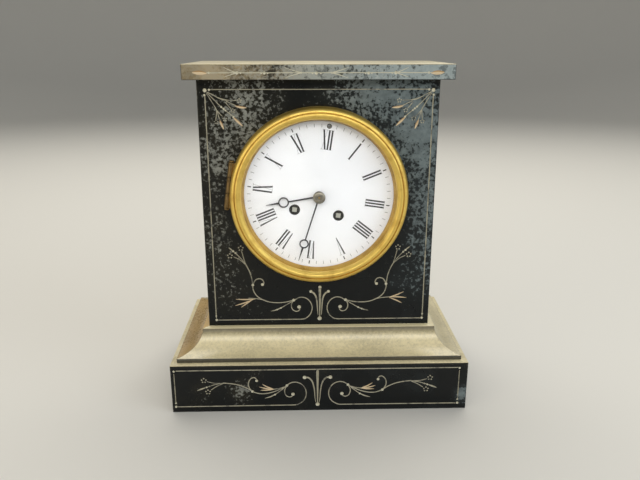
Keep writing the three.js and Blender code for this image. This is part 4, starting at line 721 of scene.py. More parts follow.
# Black for the linings of the winding holes: painted shade inside each hole.
hole_shade_black = worn_finish("hole_shade_black", seen(5, 5, 5), seen(10, 10, 9), 0.6, 2, roughness=0.7, gloss=0.1)
glass = glass_finish("glass")
finish_of = {**metals, "enamel": enamel, "glass": glass, "slate": slate_sides}
print("the dial's finishes are ready")

# %% [markdown]
# ## The slabs of the case
#
# The case is built of sawn and polished slate slabs, cemented edge to edge. A box would be too sharp:
# the worn, rounded arrises are what catches the light. The slab formula gives them as real geometry
# with a material of their own, and the joints between slabs show as fine lines, as on the real case.

# %% Slabs without ornament
ARRIS = 0.4
PLAIN_SLABS = {
    "plinth_back": slate_plinth,
    "plinth_left": slate_plinth,
    "plinth_right": slate_plinth,
    "left_panel": slate_sides,
    "right_panel": slate_sides,
}
for node, stone in PLAIN_SLABS.items():
    low, high = box_of(node)
    piece(node + "_slab", as_mesh(slab(low, high, ARRIS), [stone, arris]), node)
print(len(PLAIN_SLABS), "plain slabs")

# %% [markdown]
# ## The moulding
#
# Four mitred lengths carry the eye from the plinth up to the case: a small upright toe, a wide hollow
# and a narrow ledge. The hollow, which masons call a cavetto, is a quarter of an ellipse. One section
# is carried along each side of the case, and its ends follow the mitres, so the four lengths meet in
# a curved line at each corner.

# %% Moulding
TOE_HEIGHT = 3.6
LEDGE_OVERHANG = 4.5
MOULDING_ARRIS = 0.45
HOLLOW_STEPS = 36
MITRE_GAP = 0.12

case_low, case_high = box_of("front_panel")
moulding_low, moulding_high = box_of("moulding_front")
case_half_width = case_high[0]
case_half_depth = -case_low[1]
panel_thickness = case_high[1] - case_low[1]
moulding_height = moulding_high[2] - moulding_low[2]
toe_overhang = moulding_high[0] - case_half_width


def moulding_section():
    """Overhang and height round the section: toe, hollow quarter ellipse, ledge and back."""
    angle = np.linspace(math.pi / 2, 0, HOLLOW_STEPS)[1:-1]
    hollow = np.stack([
        toe_overhang - (toe_overhang - LEDGE_OVERHANG) * np.cos(angle),
        moulding_height - (moulding_height - TOE_HEIGHT) * np.sin(angle),
    ], axis=-1)
    toe = rounded([(-panel_thickness, 0), (toe_overhang, 0), (toe_overhang, TOE_HEIGHT), hollow[0]],
                  MOULDING_ARRIS, closed=False)[:-1]
    ledge = rounded([hollow[-1], (LEDGE_OVERHANG, moulding_height), (-panel_thickness, moulding_height)],
                    MOULDING_ARRIS, closed=False)[1:]
    return np.vstack([toe, hollow, ledge])


def moulding_length(turn):
    """The section at both ends of one side. Each end lies on its corner's mitre, less half the joint."""
    overhang, height = moulding_section().T
    run = np.array([[-1.0], [1.0]])
    along = case_half_width + overhang - MITRE_GAP
    out = case_half_depth + overhang
    if turn % 2:
        along, out = case_half_depth + overhang - MITRE_GAP, case_half_width + overhang
    sides = [(run * along, -out), (out, run * along), (-run * along, out), (-out, -run * along)]
    x, y = np.broadcast_arrays(*sides[turn])
    points = np.stack([x, y, moulding_low[2] + height + 0 * x], axis=-1)
    columns = len(overhang)
    return shape(points * MM, grid_faces(2, columns) + end_caps(2, columns))


for turn, side in enumerate(["front", "right", "back", "left"]):
    node = f"moulding_{side}"
    piece(node + "_run", as_mesh(moulding_length(turn), [moulding_finishes[side]]), node, sharp=25)
print(f"a hollow {toe_overhang - LEDGE_OVERHANG:.1f} mm wide")

# %% [markdown]
# ## Cutting lines into slate
#
# The ornament is cut with a small round-nosed tool and gilded. It could be painted with a texture, but
# a cut line has a shaded and a lit side, so it is cut for real: a round bar is carried along a smooth
# line through a few points, sunk a little into the face, and taken away from the slab. A line keeps
# its width, a whip tapers, and a leaf or a bud swells in the middle. A leaf has the warmer gold, and a
# bud the gold of the lines. A dot is a round pit.

# %% Bars along lines
BITE = 0.4
BAR_SIDES = 8
STRIDE = 0.9
STRAIGHT_STOPS = np.array([0, 0.006, 0.5, 0.994, 1])[:, None]
BLUNT_END, WHIP_LOSS, LEAF_TIP = 0.4, 0.7, 0.25
PIT_LIFT, PIT_BALL = 0.4, 1.08
PIT_SIDES, PIT_ROWS = 14, 6
PETALS = 5
LINE, WHIP, LEAF, BUD = "line", "whip", "leaf", "bud"
FINE, FIRM, BOLD, WIDE = 0.6, 0.8, 1.05, 1.8
GILT_FACE, LEAF_FACE, BEAD_FACE = 2, 3, 4


def smooth_line(points):
    """A cubic on each span that leaves every point along the line between its two neighbours."""
    p = np.array(points, float)
    if len(p) == 2:
        return p[0] + (p[1] - p[0]) * STRAIGHT_STOPS
    p = np.vstack([2 * p[0] - p[1], p, 2 * p[-1] - p[-2]])
    spans = len(p) - 3
    length = np.linalg.norm(np.diff(p[1:-1], axis=0), axis=1).sum()
    t = np.linspace(0, 1, max(2, math.ceil(length / spans / STRIDE)), endpoint=False)[:, None]
    a, b, c, d = (p[i : i + spans, None] for i in range(4))
    curve = (2 * b + (c - a) * t + (2 * a - 5 * b + 4 * c - d) * t**2 + (3 * b - a - 3 * c + d) * t**3) / 2
    return np.vstack([curve.reshape(-1, 2), p[-2]])


def groove(face, points, width, kind):
    """A round bar along a line on the face, as deep as its bite and as wide as asked where it cuts.

    Rings of the bar stand across the line. Each is scaled by the line's swelling at that place.
    """
    line = smooth_line(points)
    steps = np.linalg.norm(np.diff(line, axis=0), axis=1)
    share = np.concatenate([[0], np.cumsum(steps)]) / steps.sum()
    ends = np.clip(np.minimum(share, 1 - share) * steps.sum() / width + BLUNT_END, 0, 1)
    lens = LEAF_TIP + (1 - LEAF_TIP) * np.sin(math.pi * share)
    swell = {LINE: ends, WHIP: ends * (1 - WHIP_LOSS * share), LEAF: lens, BUD: lens}[kind]
    tangent = np.gradient(line, axis=0)
    tangent /= np.linalg.norm(tangent, axis=1, keepdims=True)
    radius = (0.25 + BITE**2) / (2 * BITE) * width
    lift = radius - BITE * width
    angle = 2 * math.pi * (np.arange(BAR_SIDES) + 0.5) / BAR_SIDES
    sideways = swell[:, None] * radius * np.cos(angle)
    inwards = swell[:, None] * (radius * np.sin(angle) - lift)
    points = np.stack([
        line[:, :1] - tangent[:, 1:] * sideways,
        face + inwards,
        line[:, 1:] + tangent[:, :1] * sideways,
    ], axis=-1)
    rows = len(line)
    faces = grid_faces(rows, BAR_SIDES) + end_caps(rows, BAR_SIDES)
    number = LEAF_FACE if kind == LEAF else GILT_FACE
    return shape(points * MM, faces, [number] * len(faces))


def pit(face, x, z, radius):
    """A small ball, most of it in front of the face. Larger pits have kept more of their gold."""
    tilt = np.linspace(0, math.pi, PIT_ROWS)[:, None]
    angle = np.linspace(0, math.tau, PIT_SIDES, endpoint=False)[None]
    ball = PIT_BALL * radius
    points = np.stack([
        x + ball * np.sin(tilt) * np.cos(angle),
        face - PIT_LIFT * radius + ball * np.cos(tilt) + 0 * angle,
        z + ball * np.sin(tilt) * np.sin(angle),
    ], axis=-1)
    faces = grid_faces(PIT_ROWS, PIT_SIDES)
    number = BEAD_FACE if radius > FINE else GILT_FACE
    return shape(points * MM, faces, [number] * len(faces))


def rosette(out, z, ring=1.7, radius=0.6):
    """A small flower: round pits, evenly spaced on a ring."""
    turn = math.tau * np.arange(PETALS) / PETALS
    return [(out + ring * math.sin(t), z + ring * math.cos(t), radius) for t in turn]


print("a bar has", BAR_SIDES, "sides, and a line is", FINE, "to", WIDE, "mm wide")

# %% Carving and drilling
DRILL_PASS = 2


def ornament(node, axis, lines, dots, single_lines, single_dots):
    """Cutters for a slab's front: a bar for each line, and a ball for each dot.

    Lines and dots, given outwards from an axis, lie on both sides of it. Single ones lie where they
    are. A line is given as width, kind and points, and a dot as its place and radius.
    """
    face = box_of(node)[0][1]
    all_lines = [
        (width, kind, [(axis + side * out, z) for out, z in points])
        for side in (-1, 1) for width, kind, points in lines
    ]
    all_dots = [(axis + side * out, z, radius) for side in (-1, 1) for out, z, radius in dots]
    bars = [groove(face, points, width, kind) for width, kind, points in all_lines + single_lines]
    return bars + [pit(face, x, z, radius) for x, z, radius in all_dots + single_dots]


def carved(name, node, stone, cuts=(), holes=(), gold=gilding):
    """A slab with its lines and holes cut into it, and gold in the lines."""
    coat = [stone, arris, gold, leaf_gilding, bead_gilding]
    low, high = box_of(node)
    blank = as_mesh(slab(low, high, ARRIS), coat)
    tools = [as_mesh(cut, coat) for cut in [*holes, *cuts]]
    made = piece(name, worked(blank, "DIFFERENCE", tools), node, sharp=30)
    print(name, "has", len(cuts), "cuts and", len(made.data.polygons), "faces")


def drill(node, radius, place=(0, 0), segments=128):
    """A rod that cuts a round hole right through a node, and passes it a little on both sides."""
    front, back = level(node)
    return rod(radius, front - DRILL_PASS, back + DRILL_PASS, (*place, 0), segments=segments)


print("a drill passes a slab by", DRILL_PASS, "mm")


# %% [markdown]
# ## The front panel
#
# A thin frame runs round the panel. At the bottom it turns up into two scrolls beside a small fleur,
# each with a curl, a spray of leaves and a beaded leaf, and sprays fan out of the top corners. The two
# halves match, so one half is written down, as distances out from the middle and heights. Only the
# two sprays of leaves differ, because a hand cut them, so each has its own places.

# %% Front panel
FRONT_AXIS = 0.5
FLEUR_SIDE, FLEUR_STEM = 1.6, 2.2
FRONT_LINES = [
    (FIRM, LINE, [(81.7, 239), (81.7, 67)]),
    (FIRM, LINE, [(80.5, 65.4), (14.5, 65.4)]),
    (FIRM, LINE, [(15.5, 65.4), (13.6, 65.5), (11.2, 66.1), (8.2, 68.6), (6.4, 72), (5.9, 75.8),
                  (7, 79.5), (9.5, 82.6), (13, 84.1), (16.5, 83.8), (19.2, 82.2), (23.5, 80.9), (28, 80),
                  (33, 79.7), (38, 80.1), (42.2, 81.3), (46.2, 83.3), (49.2, 85.7), (51.2, 88.9), (52.1, 92),
                  (52.2, 95), (52.5, 98), (53, 101.5), (54, 105.2), (55.5, 108.7), (57.1, 112)]),
    (FINE, LINE, [(57, 112), (58.4, 116.5), (59.2, 120), (59.9, 122.8)]),
    (FINE, LINE, [(57, 112), (60.8, 117), (64.6, 121.1), (66.5, 122.8)]),
    (FINE, LINE, [(57, 111.5), (61.3, 115.6), (66.4, 118.2)]),
    (BOLD, BUD, [(66, 122.4), (67.8, 124), (69.6, 125.5)]),
    (FIRM, LINE, [(51.9, 95), (51, 97.3), (49.5, 99.2), (47.2, 100), (45, 99.4),
                  (43.6, 97.6), (43.4, 95.6)]),
    (FIRM, LINE, [(20.3, 81.8), (22, 79), (22.2, 76.2), (21.2, 73.7), (19, 72.3),
                  (16.8, 72.6), (15.4, 74.3)]),
    (FINE, LINE, [(21, 81), (26, 78), (29.8, 75.6)]),
    (BOLD, BUD, [(28.5, 76.5), (33.8, 73.8), (38.5, 72.5)]),
    (FINE, LINE, [(42.5, 81.8), (47, 82.9), (51.5, 83.5), (56, 83.8)]),
    (FINE, LINE, [(80.5, 241.8), (75.5, 239.4), (71, 237), (66, 236), (59.4, 235.7)]),
    (BOLD, BUD, [(73, 238.1), (69.5, 236.6), (65, 235.9)]),
    (FINE, LINE, [(67, 235.4), (63, 233.5), (59.6, 231.9)]),
    (WIDE, LEAF, [(60.4, 231.9), (56.4, 230.9), (52.4, 230.6)]),
    (FINE, LINE, [(67.5, 234.8), (65.5, 232.2), (63.3, 229.8)]),
    (FINE, LINE, [(80.3, 241.5), (75.5, 236.4), (70.4, 231.2), (66.5, 228), (62.2, 224.4)]),
    (WIDE, LEAF, [(62.4, 224.2), (59.2, 221), (55.6, 217.6)]),
    (FINE, LINE, [(80.7, 241), (77.4, 235.5), (73.8, 229.1), (72.7, 225), (71.6, 221.6)]),
    (WIDE, LEAF, [(71.8, 221.8), (70.6, 218.6), (69.4, 215.4)]),
    (FINE, LINE, [(73.7, 229), (71.7, 226.4), (69.4, 224.1)]),
    (FINE, LINE, [(73.8, 229), (74.2, 225), (74.7, 222)]),
    (FLEUR_SIDE, WHIP, [(6.9, 89), (4.2, 87), (2.6, 83.5), (2, 79), (1.7, 74), (1.2, 68.5)]),
]
FRONT_DOTS = [
    (81.6, 242.8, 1.4), (82, 239.5, 0.85), (78.6, 243.2, 0.85), (81.5, 65.6, 1.0), (81.7, 69, 0.7),
    (20.4, 81.7, 1.2), (52.1, 94.8, 1.1), (44.6, 95.1, 1.2), (16.2, 75.9, 1.5), (6.9, 88.9, 1.2),
    (30.5, 75.2, 0.7), (33.5, 73.9, 0.7), (64.6, 121.1, 0.75), (66.3, 122.6, 0.85),
    (70.4, 231.2, 0.75), (68.8, 229.9, 0.75), (67.4, 228.7, 0.65), (62, 224.1, 0.8),
    *rosette(60.4, 124.9), *rosette(68.9, 118.8), *rosette(57.4, 235.6, 1.3, 0.52),
    *rosette(62.2, 228.6, 1.2, 0.48), *rosette(68.2, 222.8, 1.3, 0.52), *rosette(74.6, 220.6, 1.2, 0.48),
]
FRONT_SINGLE_LINES = [
    (FINE, LINE, [(-78.5, 243.4), (79.5, 243.4)]),
    (FLEUR_STEM, WHIP, [(0.7, 93), (0.7, 80), (0.5, 66)]),
    (BOLD, LEAF, [(55, 83.5), (61, 85.4), (66.5, 88)]),
    (BOLD, LEAF, [(55, 83.7), (62, 83.7), (69, 83)]),
    (BOLD, LEAF, [(55, 83.5), (60.5, 81.2), (65.5, 78.6)]),
    (BOLD, LEAF, [(-50, 82.9), (-57.6, 82.7), (-65.2, 83)]),
    (BOLD, LEAF, [(-51.4, 82.7), (-58.6, 79.9), (-65.9, 77.6)]),
    (BOLD, LEAF, [(-52.4, 82.3), (-56.8, 79.4), (-61.2, 76.1)]),
]
FRONT_SINGLE_DOTS = [(0.7, 92.4, 1.3), (0.5, 66, 1.7)]

SEAT_WALL = 57.6
PANEL_HOLE_GAP = 0.3
front_cuts = ornament("front_panel", FRONT_AXIS, FRONT_LINES, FRONT_DOTS, FRONT_SINGLE_LINES,
                      FRONT_SINGLE_DOTS)
panel_hole = drill("front_panel", SEAT_WALL + PANEL_HOLE_GAP)
carved("front_panel_carved", "front_panel", slate_front, front_cuts, [panel_hole])

# %% [markdown]
# ## The plinth's front
#
# The plinth repeats the scrolls, stretched out flat, round a larger fleur that reaches the top line.

# %% Plinth front
PLINTH_AXIS = -1.9
PLINTH_SIDE, PLINTH_STEM, PLINTH_BUD = 1.5, 2.3, 1.3
PLINTH_LINES = [
    (FIRM, LINE, [(109.8, 33.5), (109.8, 7)]),
    (FIRM, LINE, [(108.5, 4.8), (18, 5)]),
    (FIRM, LINE, [(19, 5), (17, 5.1), (14.8, 5.8), (11.5, 8), (9.4, 11.2), (8.7, 15), (9.4, 19),
                  (11.6, 22.5), (14.8, 24.5), (18.2, 25), (21.7, 23.8), (25.8, 20.5), (29.5, 18.7),
                  (33.5, 17), (38, 15.7), (42.5, 15.2), (46.5, 15.8), (50.5, 17.5), (53.8, 19.9),
                  (57.3, 21.7), (60.5, 23), (65, 24.1), (69.5, 24.7), (73, 25.1)]),
    (FINE, LINE, [(72.3, 24.8), (78.5, 24.9), (82.5, 25.7), (85.2, 26.6)]),
    (FINE, LINE, [(72.3, 24.8), (79, 23.7), (83.4, 22.2), (87.2, 20.9)]),
    (FINE, LINE, [(72.3, 24.7), (77.6, 22.2), (82.3, 19)]),
    (PLINTH_BUD, BUD, [(86, 21.3), (89, 20.2), (92.8, 18.6)]),
    (FINE, LINE, [(25.5, 21), (30, 19.6), (35, 19)]),
    (BOLD, LEAF, [(33.5, 19.1), (38.5, 21), (42.6, 23.6)]),
    (BOLD, LEAF, [(33.5, 19), (39.5, 19.7), (45, 21.2)]),
    (BOLD, LEAF, [(33.5, 18.9), (38.5, 18.4), (44, 18.3)]),
    (FIRM, LINE, [(51, 18), (52.6, 20.5), (53.3, 23.4), (52.6, 26.6), (50.6, 28.9),
                  (48.5, 29.3), (46.9, 28)]),
    (FIRM, LINE, [(23.8, 21.8), (25.3, 18.6), (25.3, 15.7), (24, 13.1), (21.6, 12.1), (19.3, 12.9)]),
    (FINE, LINE, [(26, 19.8), (29, 17.4), (32.5, 14.6)]),
    (BOLD, BUD, [(31, 15.8), (36, 12.8), (41, 11.2)]),
    (PLINTH_SIDE, WHIP, [(9.9, 28.9), (7, 28.7), (4.6, 26.3), (3.1, 22.2), (2.3, 17), (1.9, 11),
                         (1.2, 6.8)]),
]
PLINTH_DOTS = [
    (109.8, 35.4, 0.9), (109.8, 4.9, 1.0), (109.7, 8, 0.7), (23.6, 22.2, 1.1), (50.4, 17.4, 1.1),
    (46.9, 26.6, 1.1), (19, 14.5, 1.4), (33, 14.3, 0.8), (9.9, 28.9, 1.5), (83.2, 22.3, 0.6),
    (85.4, 21.5, 0.7), *rosette(87.3, 27.3), *rosette(84.5, 17.4),
]
PLINTH_SINGLE_LINES = [
    (FIRM, LINE, [(-110.5, 35.8), (107, 35.8)]),
    (PLINTH_STEM, WHIP, [(-1.8, 35.4), (-1.8, 20), (-1.8, 6)]),
]
PLINTH_SINGLE_DOTS = [(-1.8, 5.4, 1.6)]

plinth_cuts = ornament("plinth_front", PLINTH_AXIS, PLINTH_LINES, PLINTH_DOTS, PLINTH_SINGLE_LINES,
                       PLINTH_SINGLE_DOTS)
carved("plinth_front_carved", "plinth_front", slate_plinth, plinth_cuts)

# %% [markdown]
# ## The top slab
#
# One line with feathers and beads runs along the edge of the slab that caps the case, and ends in a leaf
# at either side. It is cut in the same way, and only its gold differs: it has kept more of it.

# %% Top slab
SLAB_AXIS = -1.8
SLAB_LEAF = 3.0
SLAB_LINES = [
    (FIRM, WHIP, [(55.6, 255.2), (59.8, 256.8), (64.4, 259)]),
    (FIRM, WHIP, [(55.6, 255.1), (59.8, 253.8), (64.4, 252.3)]),
    (FIRM, WHIP, [(10.8, 255.3), (16.5, 256.8), (22.6, 258.9)]),
    (FIRM, WHIP, [(10.8, 255.1), (16.5, 253.6), (22.2, 251.6)]),
]
SLAB_DOTS = [
    (55.2, 255.2, 1.2), (52.7, 255.1, 0.7), (38.4, 255, 0.65), (36.2, 255, 1.05), (34, 254.9, 0.65),
    (10.7, 255.2, 0.7), (2.9, 254.9, 0.7),
]
SLAB_SINGLE_LINES = [
    (FINE, LINE, [(-87, 255.2), (87, 255.2)]),
    (SLAB_LEAF, LEAF, [(-77.8, 254.9), (-82.5, 255.2), (-87.8, 255.4)]),
    (SLAB_LEAF, LEAF, [(78.2, 254.9), (82.6, 255.2), (87.4, 255.4)]),
]
SLAB_SINGLE_DOTS = [(-76.4, 255.2, 0.8), (76.6, 255.2, 0.8), (-1.9, 254.9, 1.1)]

slab_cuts = ornament("top_slab", SLAB_AXIS, SLAB_LINES, SLAB_DOTS, SLAB_SINGLE_LINES, SLAB_SINGLE_DOTS)
carved("top_slab_carved", "top_slab", slate_slab, slab_cuts, gold=bead_gilding)

# %% [markdown]
# ## The back panel
#
# The back panel is the one plain slab with a round hole, through which the movement is reached. The hole
# is drilled as the front panel's is, with a round rod that is taken away from the slab.

# %% Back panel
BACK_HOLE_RADIUS = 50
carved("back_panel_bored", "back_panel", slate_sides, holes=[drill("back_panel", BACK_HOLE_RADIUS)])

# %% [markdown]
# ## The bezel
#
# The bezel is a turned brass ring with a bead, a dark line and a hollow slope down to the glass. It
# opens on a hinge at the left, so it has two knuckles, and the seat behind it has the third. Profiles
# are lists of radius and depth with every corner eased, and the knuckles are joined on.

# %% Turned work and hinges
EASE = 0.22
CURVE_STEPS = 9
RUNNING_GAP = 0.3
KNUCKLE_RADIUS = 2.2
PIN_RADIUS = 1.0
HINGE_SEGMENTS, RING_SEGMENTS, BEZEL_SEGMENTS = 32, 160, 192
hinge_across, _, hinge_behind = joint_place("bezel_hinge")
hinge_place = (hinge_across, 0, hinge_behind)


def quarter(start, end, first_out=True, steps=CURVE_STEPS):
    """A quarter of an ellipse between two profile points, leaving the first along its radius or depth."""
    t = np.linspace(0, math.pi / 2, steps)
    (r0, d0), (r1, d1) = start, end
    quick, slow = np.sin(t), 1 - np.cos(t)
    if not first_out:
        quick, slow = slow, quick
    return np.stack([r0 + (r1 - r0) * quick, d0 + (d1 - d0) * slow], axis=-1)


def knuckle(low, high, radius=KNUCKLE_RADIUS, place=hinge_place):
    """An upright turned barrel with eased ends."""
    return rod(radius, low, high, place, EASE, upright=True, segments=HINGE_SEGMENTS)


def block(low, high):
    """A slab laid on the movement: its corners are given as across, up and behind."""
    points, faces, _ = slab(low, high, EASE)
    return shape(on_dial(*(points / MM).T), faces)


def in_second(surface):
    """The same shape in the second material of its piece."""
    points, faces, _ = surface
    return points, faces, [1] * len(faces)


def built_piece(name, node, first, joined=(), cut=(), material=None):
    """The first shape, joined with some and cut by others, in a given finish or that of its slot."""
    coat = [material or finish_of[slot_of[node]]]
    mesh = as_mesh(first, coat)
    if joined:
        mesh = worked(mesh, "UNION", [as_mesh(s, coat) for s in joined])
    if cut:
        mesh = worked(mesh, "DIFFERENCE", [as_mesh(s, coat) for s in cut])
    return piece(name, mesh, node)


print(f"the bezel's hinge is {-hinge_across:.1f} mm left of the dial's centre")

# %% Bezel
SIGHT_RADIUS = 57.2
GROOVE_RADIUS, GROOVE_HALF, GROOVE_DEPTH = 61.8, 0.15, 1.5
BEAD_FOOT_SHARE, BEAD_WIDTH_SHARE, BEAD_DROP = 0.55, 0.85, 0.6
BAND_OUTER, BAND_INNER, BAND_DOME = GROOVE_RADIUS - 0.25, 58.4, 0.9
BOW_START = -0.7
STEP_IN, STEP_DOWN = 0.1, 0.15
SLOPE_LIP = 0.8
GLASS_THICKNESS = 1.6
HINGE_HALF, FIXED_HALF = 17, 6
LEAF_HALF, LEAF_REACH = 1.5, 5

bezel_radius = reach("bezel_ring")
crown, bezel_back = level("bezel_ring")
glass_crown, glass_back = level("bezel_glass")
glass_radius = reach("bezel_glass")
glass_front = glass_back - GLASS_THICKNESS
rebate = glass_radius + RUNNING_GAP
rebate_front = glass_front - RUNNING_GAP
bead_foot = crown + BEAD_FOOT_SHARE * (bezel_back - crown)
bead_end = (bezel_radius - BEAD_WIDTH_SHARE * (bezel_radius - GROOVE_RADIUS), crown + BEAD_DROP)
band_bow = np.linspace(BOW_START, 1, CURVE_STEPS) ** 2
band_radius = np.linspace(BAND_OUTER, BAND_INNER, CURVE_STEPS)
back_edge = [(rebate, rebate_front), (rebate, bezel_back), (bezel_radius, bezel_back)]
bezel_profile = np.vstack([
    rounded([*back_edge, (bezel_radius, bead_foot)], EASE, closed=False)[:-1],
    quarter((bezel_radius, bead_foot), bead_end, first_out=False),
    [(GROOVE_RADIUS + side * GROOVE_HALF, crown + GROOVE_DEPTH) for side in (1, -1)],
    np.stack([band_radius, crown + BAND_DOME * band_bow], axis=-1),
    quarter((BAND_INNER - STEP_IN, crown + BAND_DOME + STEP_DOWN), (SIGHT_RADIUS, glass_front - SLOPE_LIP)),
    [(SIGHT_RADIUS, rebate_front)],
])

hinge_bore = rod(PIN_RADIUS + RUNNING_GAP, -2 * HINGE_HALF, 2 * HINGE_HALF, hinge_place, upright=True,
                 segments=HINGE_SEGMENTS)
gap_half = FIXED_HALF + RUNNING_GAP
door_knuckles = []
for low, high in [(gap_half, HINGE_HALF), (-HINGE_HALF, -gap_half)]:
    door_knuckles.append(knuckle(low, high))
    door_knuckles.append(block((hinge_across, low, hinge_behind - LEAF_HALF),
                               (hinge_across + LEAF_REACH, high, hinge_behind + LEAF_HALF)))
notch_room = KNUCKLE_RADIUS + 2 * RUNNING_GAP
notch = block((hinge_across - 2 * notch_room, -gap_half, hinge_behind - notch_room),
              (hinge_across + notch_room, gap_half, 1))
# The knuckles and leaves take the second finish: brass darkened as painted shade.
BEZEL_COAT = [metals["gilt"], metals["shade_darkened_brass"]]
bezel_mesh = as_mesh(turned(bezel_profile, segments=BEZEL_SEGMENTS), BEZEL_COAT)
for operation, tools in [("DIFFERENCE", [notch]), ("UNION", door_knuckles), ("DIFFERENCE", [hinge_bore])]:
    bezel_mesh = worked(bezel_mesh, operation, [as_mesh(in_second(tool), BEZEL_COAT) for tool in tools])
piece("bezel_turned", bezel_mesh, "bezel_ring", sharp=40)
print(f"a bezel of {2 * bezel_radius:.0f} mm across")

# %% [markdown]
# ## The seat and the hinge pin
#
# Behind the bezel a flanged brass tube, the seat, stands in the panel's hole and holds the dial. A lug
# on its flange has the middle knuckle of the hinge. The tube, the lug and the knuckle are each a simple
# closed shape, so they are joined first and bored last, which leaves one clean bore for the pin.

# %% Seat and hinge pin
FLANGE_FRONT, FLANGE_RADIUS = -1.6, 64.5
LIP_WIDTH, LIP_THICKNESS = 2.8, 1.5
LUG_OVERLAP = 2
seat_back = level("bezel_seat")[1]
seat_inner = reach("dial") + RUNNING_GAP
lip_inner, lip_front = seat_inner - LIP_WIDTH, seat_back - LIP_THICKNESS
seat_profile = rounded([
    (seat_inner, FLANGE_FRONT), (FLANGE_RADIUS, FLANGE_FRONT), (FLANGE_RADIUS, 0), (SEAT_WALL, 0),
    (SEAT_WALL, seat_back), (lip_inner, seat_back), (lip_inner, lip_front), (seat_inner, lip_front),
], EASE)
lug_outer = hinge_across - KNUCKLE_RADIUS
# The seat, its lug and knuckle are brass darkened as painted shade.
built_piece("bezel_seat_turned", "bezel_seat", turned(seat_profile, segments=RING_SEGMENTS), [
    block((lug_outer, -FIXED_HALF, FLANGE_FRONT), (LUG_OVERLAP - FLANGE_RADIUS, FIXED_HALF, 0)),
    block((lug_outer, -FIXED_HALF, hinge_behind),
          (hinge_across + KNUCKLE_RADIUS - RUNNING_GAP, FIXED_HALF, 0)),
    knuckle(-FIXED_HALF, FIXED_HALF),
], [hinge_bore], material=metals["shade_darkened_brass"])

BUTTON_HEIGHT, BUTTON_EASE = 1.2, 0.5
pin_half = HINGE_HALF + RUNNING_GAP
pin_end = pin_half + BUTTON_HEIGHT
button_radius = KNUCKLE_RADIUS - RUNNING_GAP
half_pin = [(PIN_RADIUS, pin_half), (button_radius, pin_half), (button_radius, pin_end), (0, pin_end)]
pin_profile = rounded([(r, -h) for r, h in half_pin[::-1]] + half_pin, BUTTON_EASE, closed=False)
hinge_pin = turned(pin_profile, hinge_place, upright=True, segments=HINGE_SEGMENTS, closed=False)
# The pin is brass darkened as painted shade, like its knuckles.
built_piece("hinge_pin_turned", "bezel_hinge_pin", hinge_pin, material=metals["shade_darkened_brass"])
print(f"a hinge pin {2 * pin_end:.0f} mm long")

# %% [markdown]
# ## The sight ring and the glass
#
# A thin ring holds the domed glass in the bezel. The dome is a part of a ball, so its profile is an arc
# whose radius follows from the width and the rise. A single sheet would look like film, so the glass has
# an inner and an outer arc, and light bends in it as in a real pane.

# %% Sight ring and glass
SIGHT_OPENING = 55.5
DOME_STEPS = 14
sight_front, sight_back = level("sight_ring")
sight_profile = rounded([
    (SIGHT_RADIUS + RUNNING_GAP, sight_front), (glass_radius, sight_front), (glass_radius, sight_back),
    (SIGHT_OPENING, sight_back),
], EASE)
sight_ring = turned(sight_profile, segments=RING_SEGMENTS)
# The sight ring takes gilt darkened as painted shade.
built_piece("sight_ring_turned", "sight_ring", sight_ring, material=metals["gilt_in_painted_shade"])

dome_radius = SIGHT_RADIUS - RUNNING_GAP
dome_rise = glass_front - glass_crown
dome_ball = (dome_radius**2 + dome_rise**2) / (2 * dome_rise)
dome_r = np.linspace(0, dome_radius, DOME_STEPS)
dome_h = np.sqrt(dome_ball**2 - dome_r**2) - dome_ball + dome_rise
glass_profile = np.vstack([
    np.stack([dome_r, glass_front - dome_h], axis=-1),
    [(glass_radius, glass_front), (glass_radius, glass_back)],
    np.stack([dome_r, glass_back - dome_h], axis=-1)[::-1],
])
dome = built_piece("dome_glass", "bezel_glass", turned(glass_profile, segments=RING_SEGMENTS, closed=False))
dome.visible_shadow = False
print(f"a glass with {dome_rise:.0f} mm of dome")

# %% [markdown]
# ## The dial and its figures
#
# Each Roman figure stands on the rim with its foot to the centre. A figure is a row of strokes: firm
# ones, and hairlines so thin that they nearly vanish from a step away. A stroke is a four-cornered
# outline given as a distance to the side and a radius, which is then turned to its hour. All strokes
# become low prisms at once, in one array.

# %% Dial
DIAL_EDGE = 0.6
WINDING_HOLE, CENTRE_HOLE, REGULATOR_HOLE = 4.1, 3.3, 1.3
FLARE, FLARE_LIFT, FLARE_DEPTH, FLARE_STEPS = 0.5, 0.01, 0.6, 5
HOLE_PASS, HOLE_SEGMENTS = 1, 48
winding_places = [joint_place(name)[:2] for name in ("going_winding_turn", "strike_winding_turn")]
regulator_place = joint_place("regulator_turn")[:2]
dial_front, dial_back = level("dial")


def dial_hole(place, radius):
    """A cutter that leaves a softly flared hole: wider at the face, as fired enamel is."""
    wide = radius + FLARE
    start, end = (wide, dial_front - FLARE_LIFT), (radius, dial_front + FLARE_DEPTH)
    flare = quarter(start, end, first_out=False, steps=FLARE_STEPS)
    before = [(0, dial_front - HOLE_PASS), (wide, dial_front - HOLE_PASS)]
    after = [(radius, dial_back + HOLE_PASS), (0, dial_back + HOLE_PASS)]
    return turned(np.vstack([before, flare, after]), (*place, 0), segments=HOLE_SEGMENTS, closed=False)


dial_holes = [dial_hole(place, WINDING_HOLE) for place in winding_places]
dial_holes += [dial_hole((0, 0), CENTRE_HOLE), dial_hole(regulator_place, REGULATOR_HOLE)]
dial_plate = rod(reach("dial"), dial_front, dial_back, ease=DIAL_EDGE, segments=RING_SEGMENTS)
built_piece("dial_plate", "dial", dial_plate, cut=dial_holes)
print("a dial with", len(dial_holes), "holes")

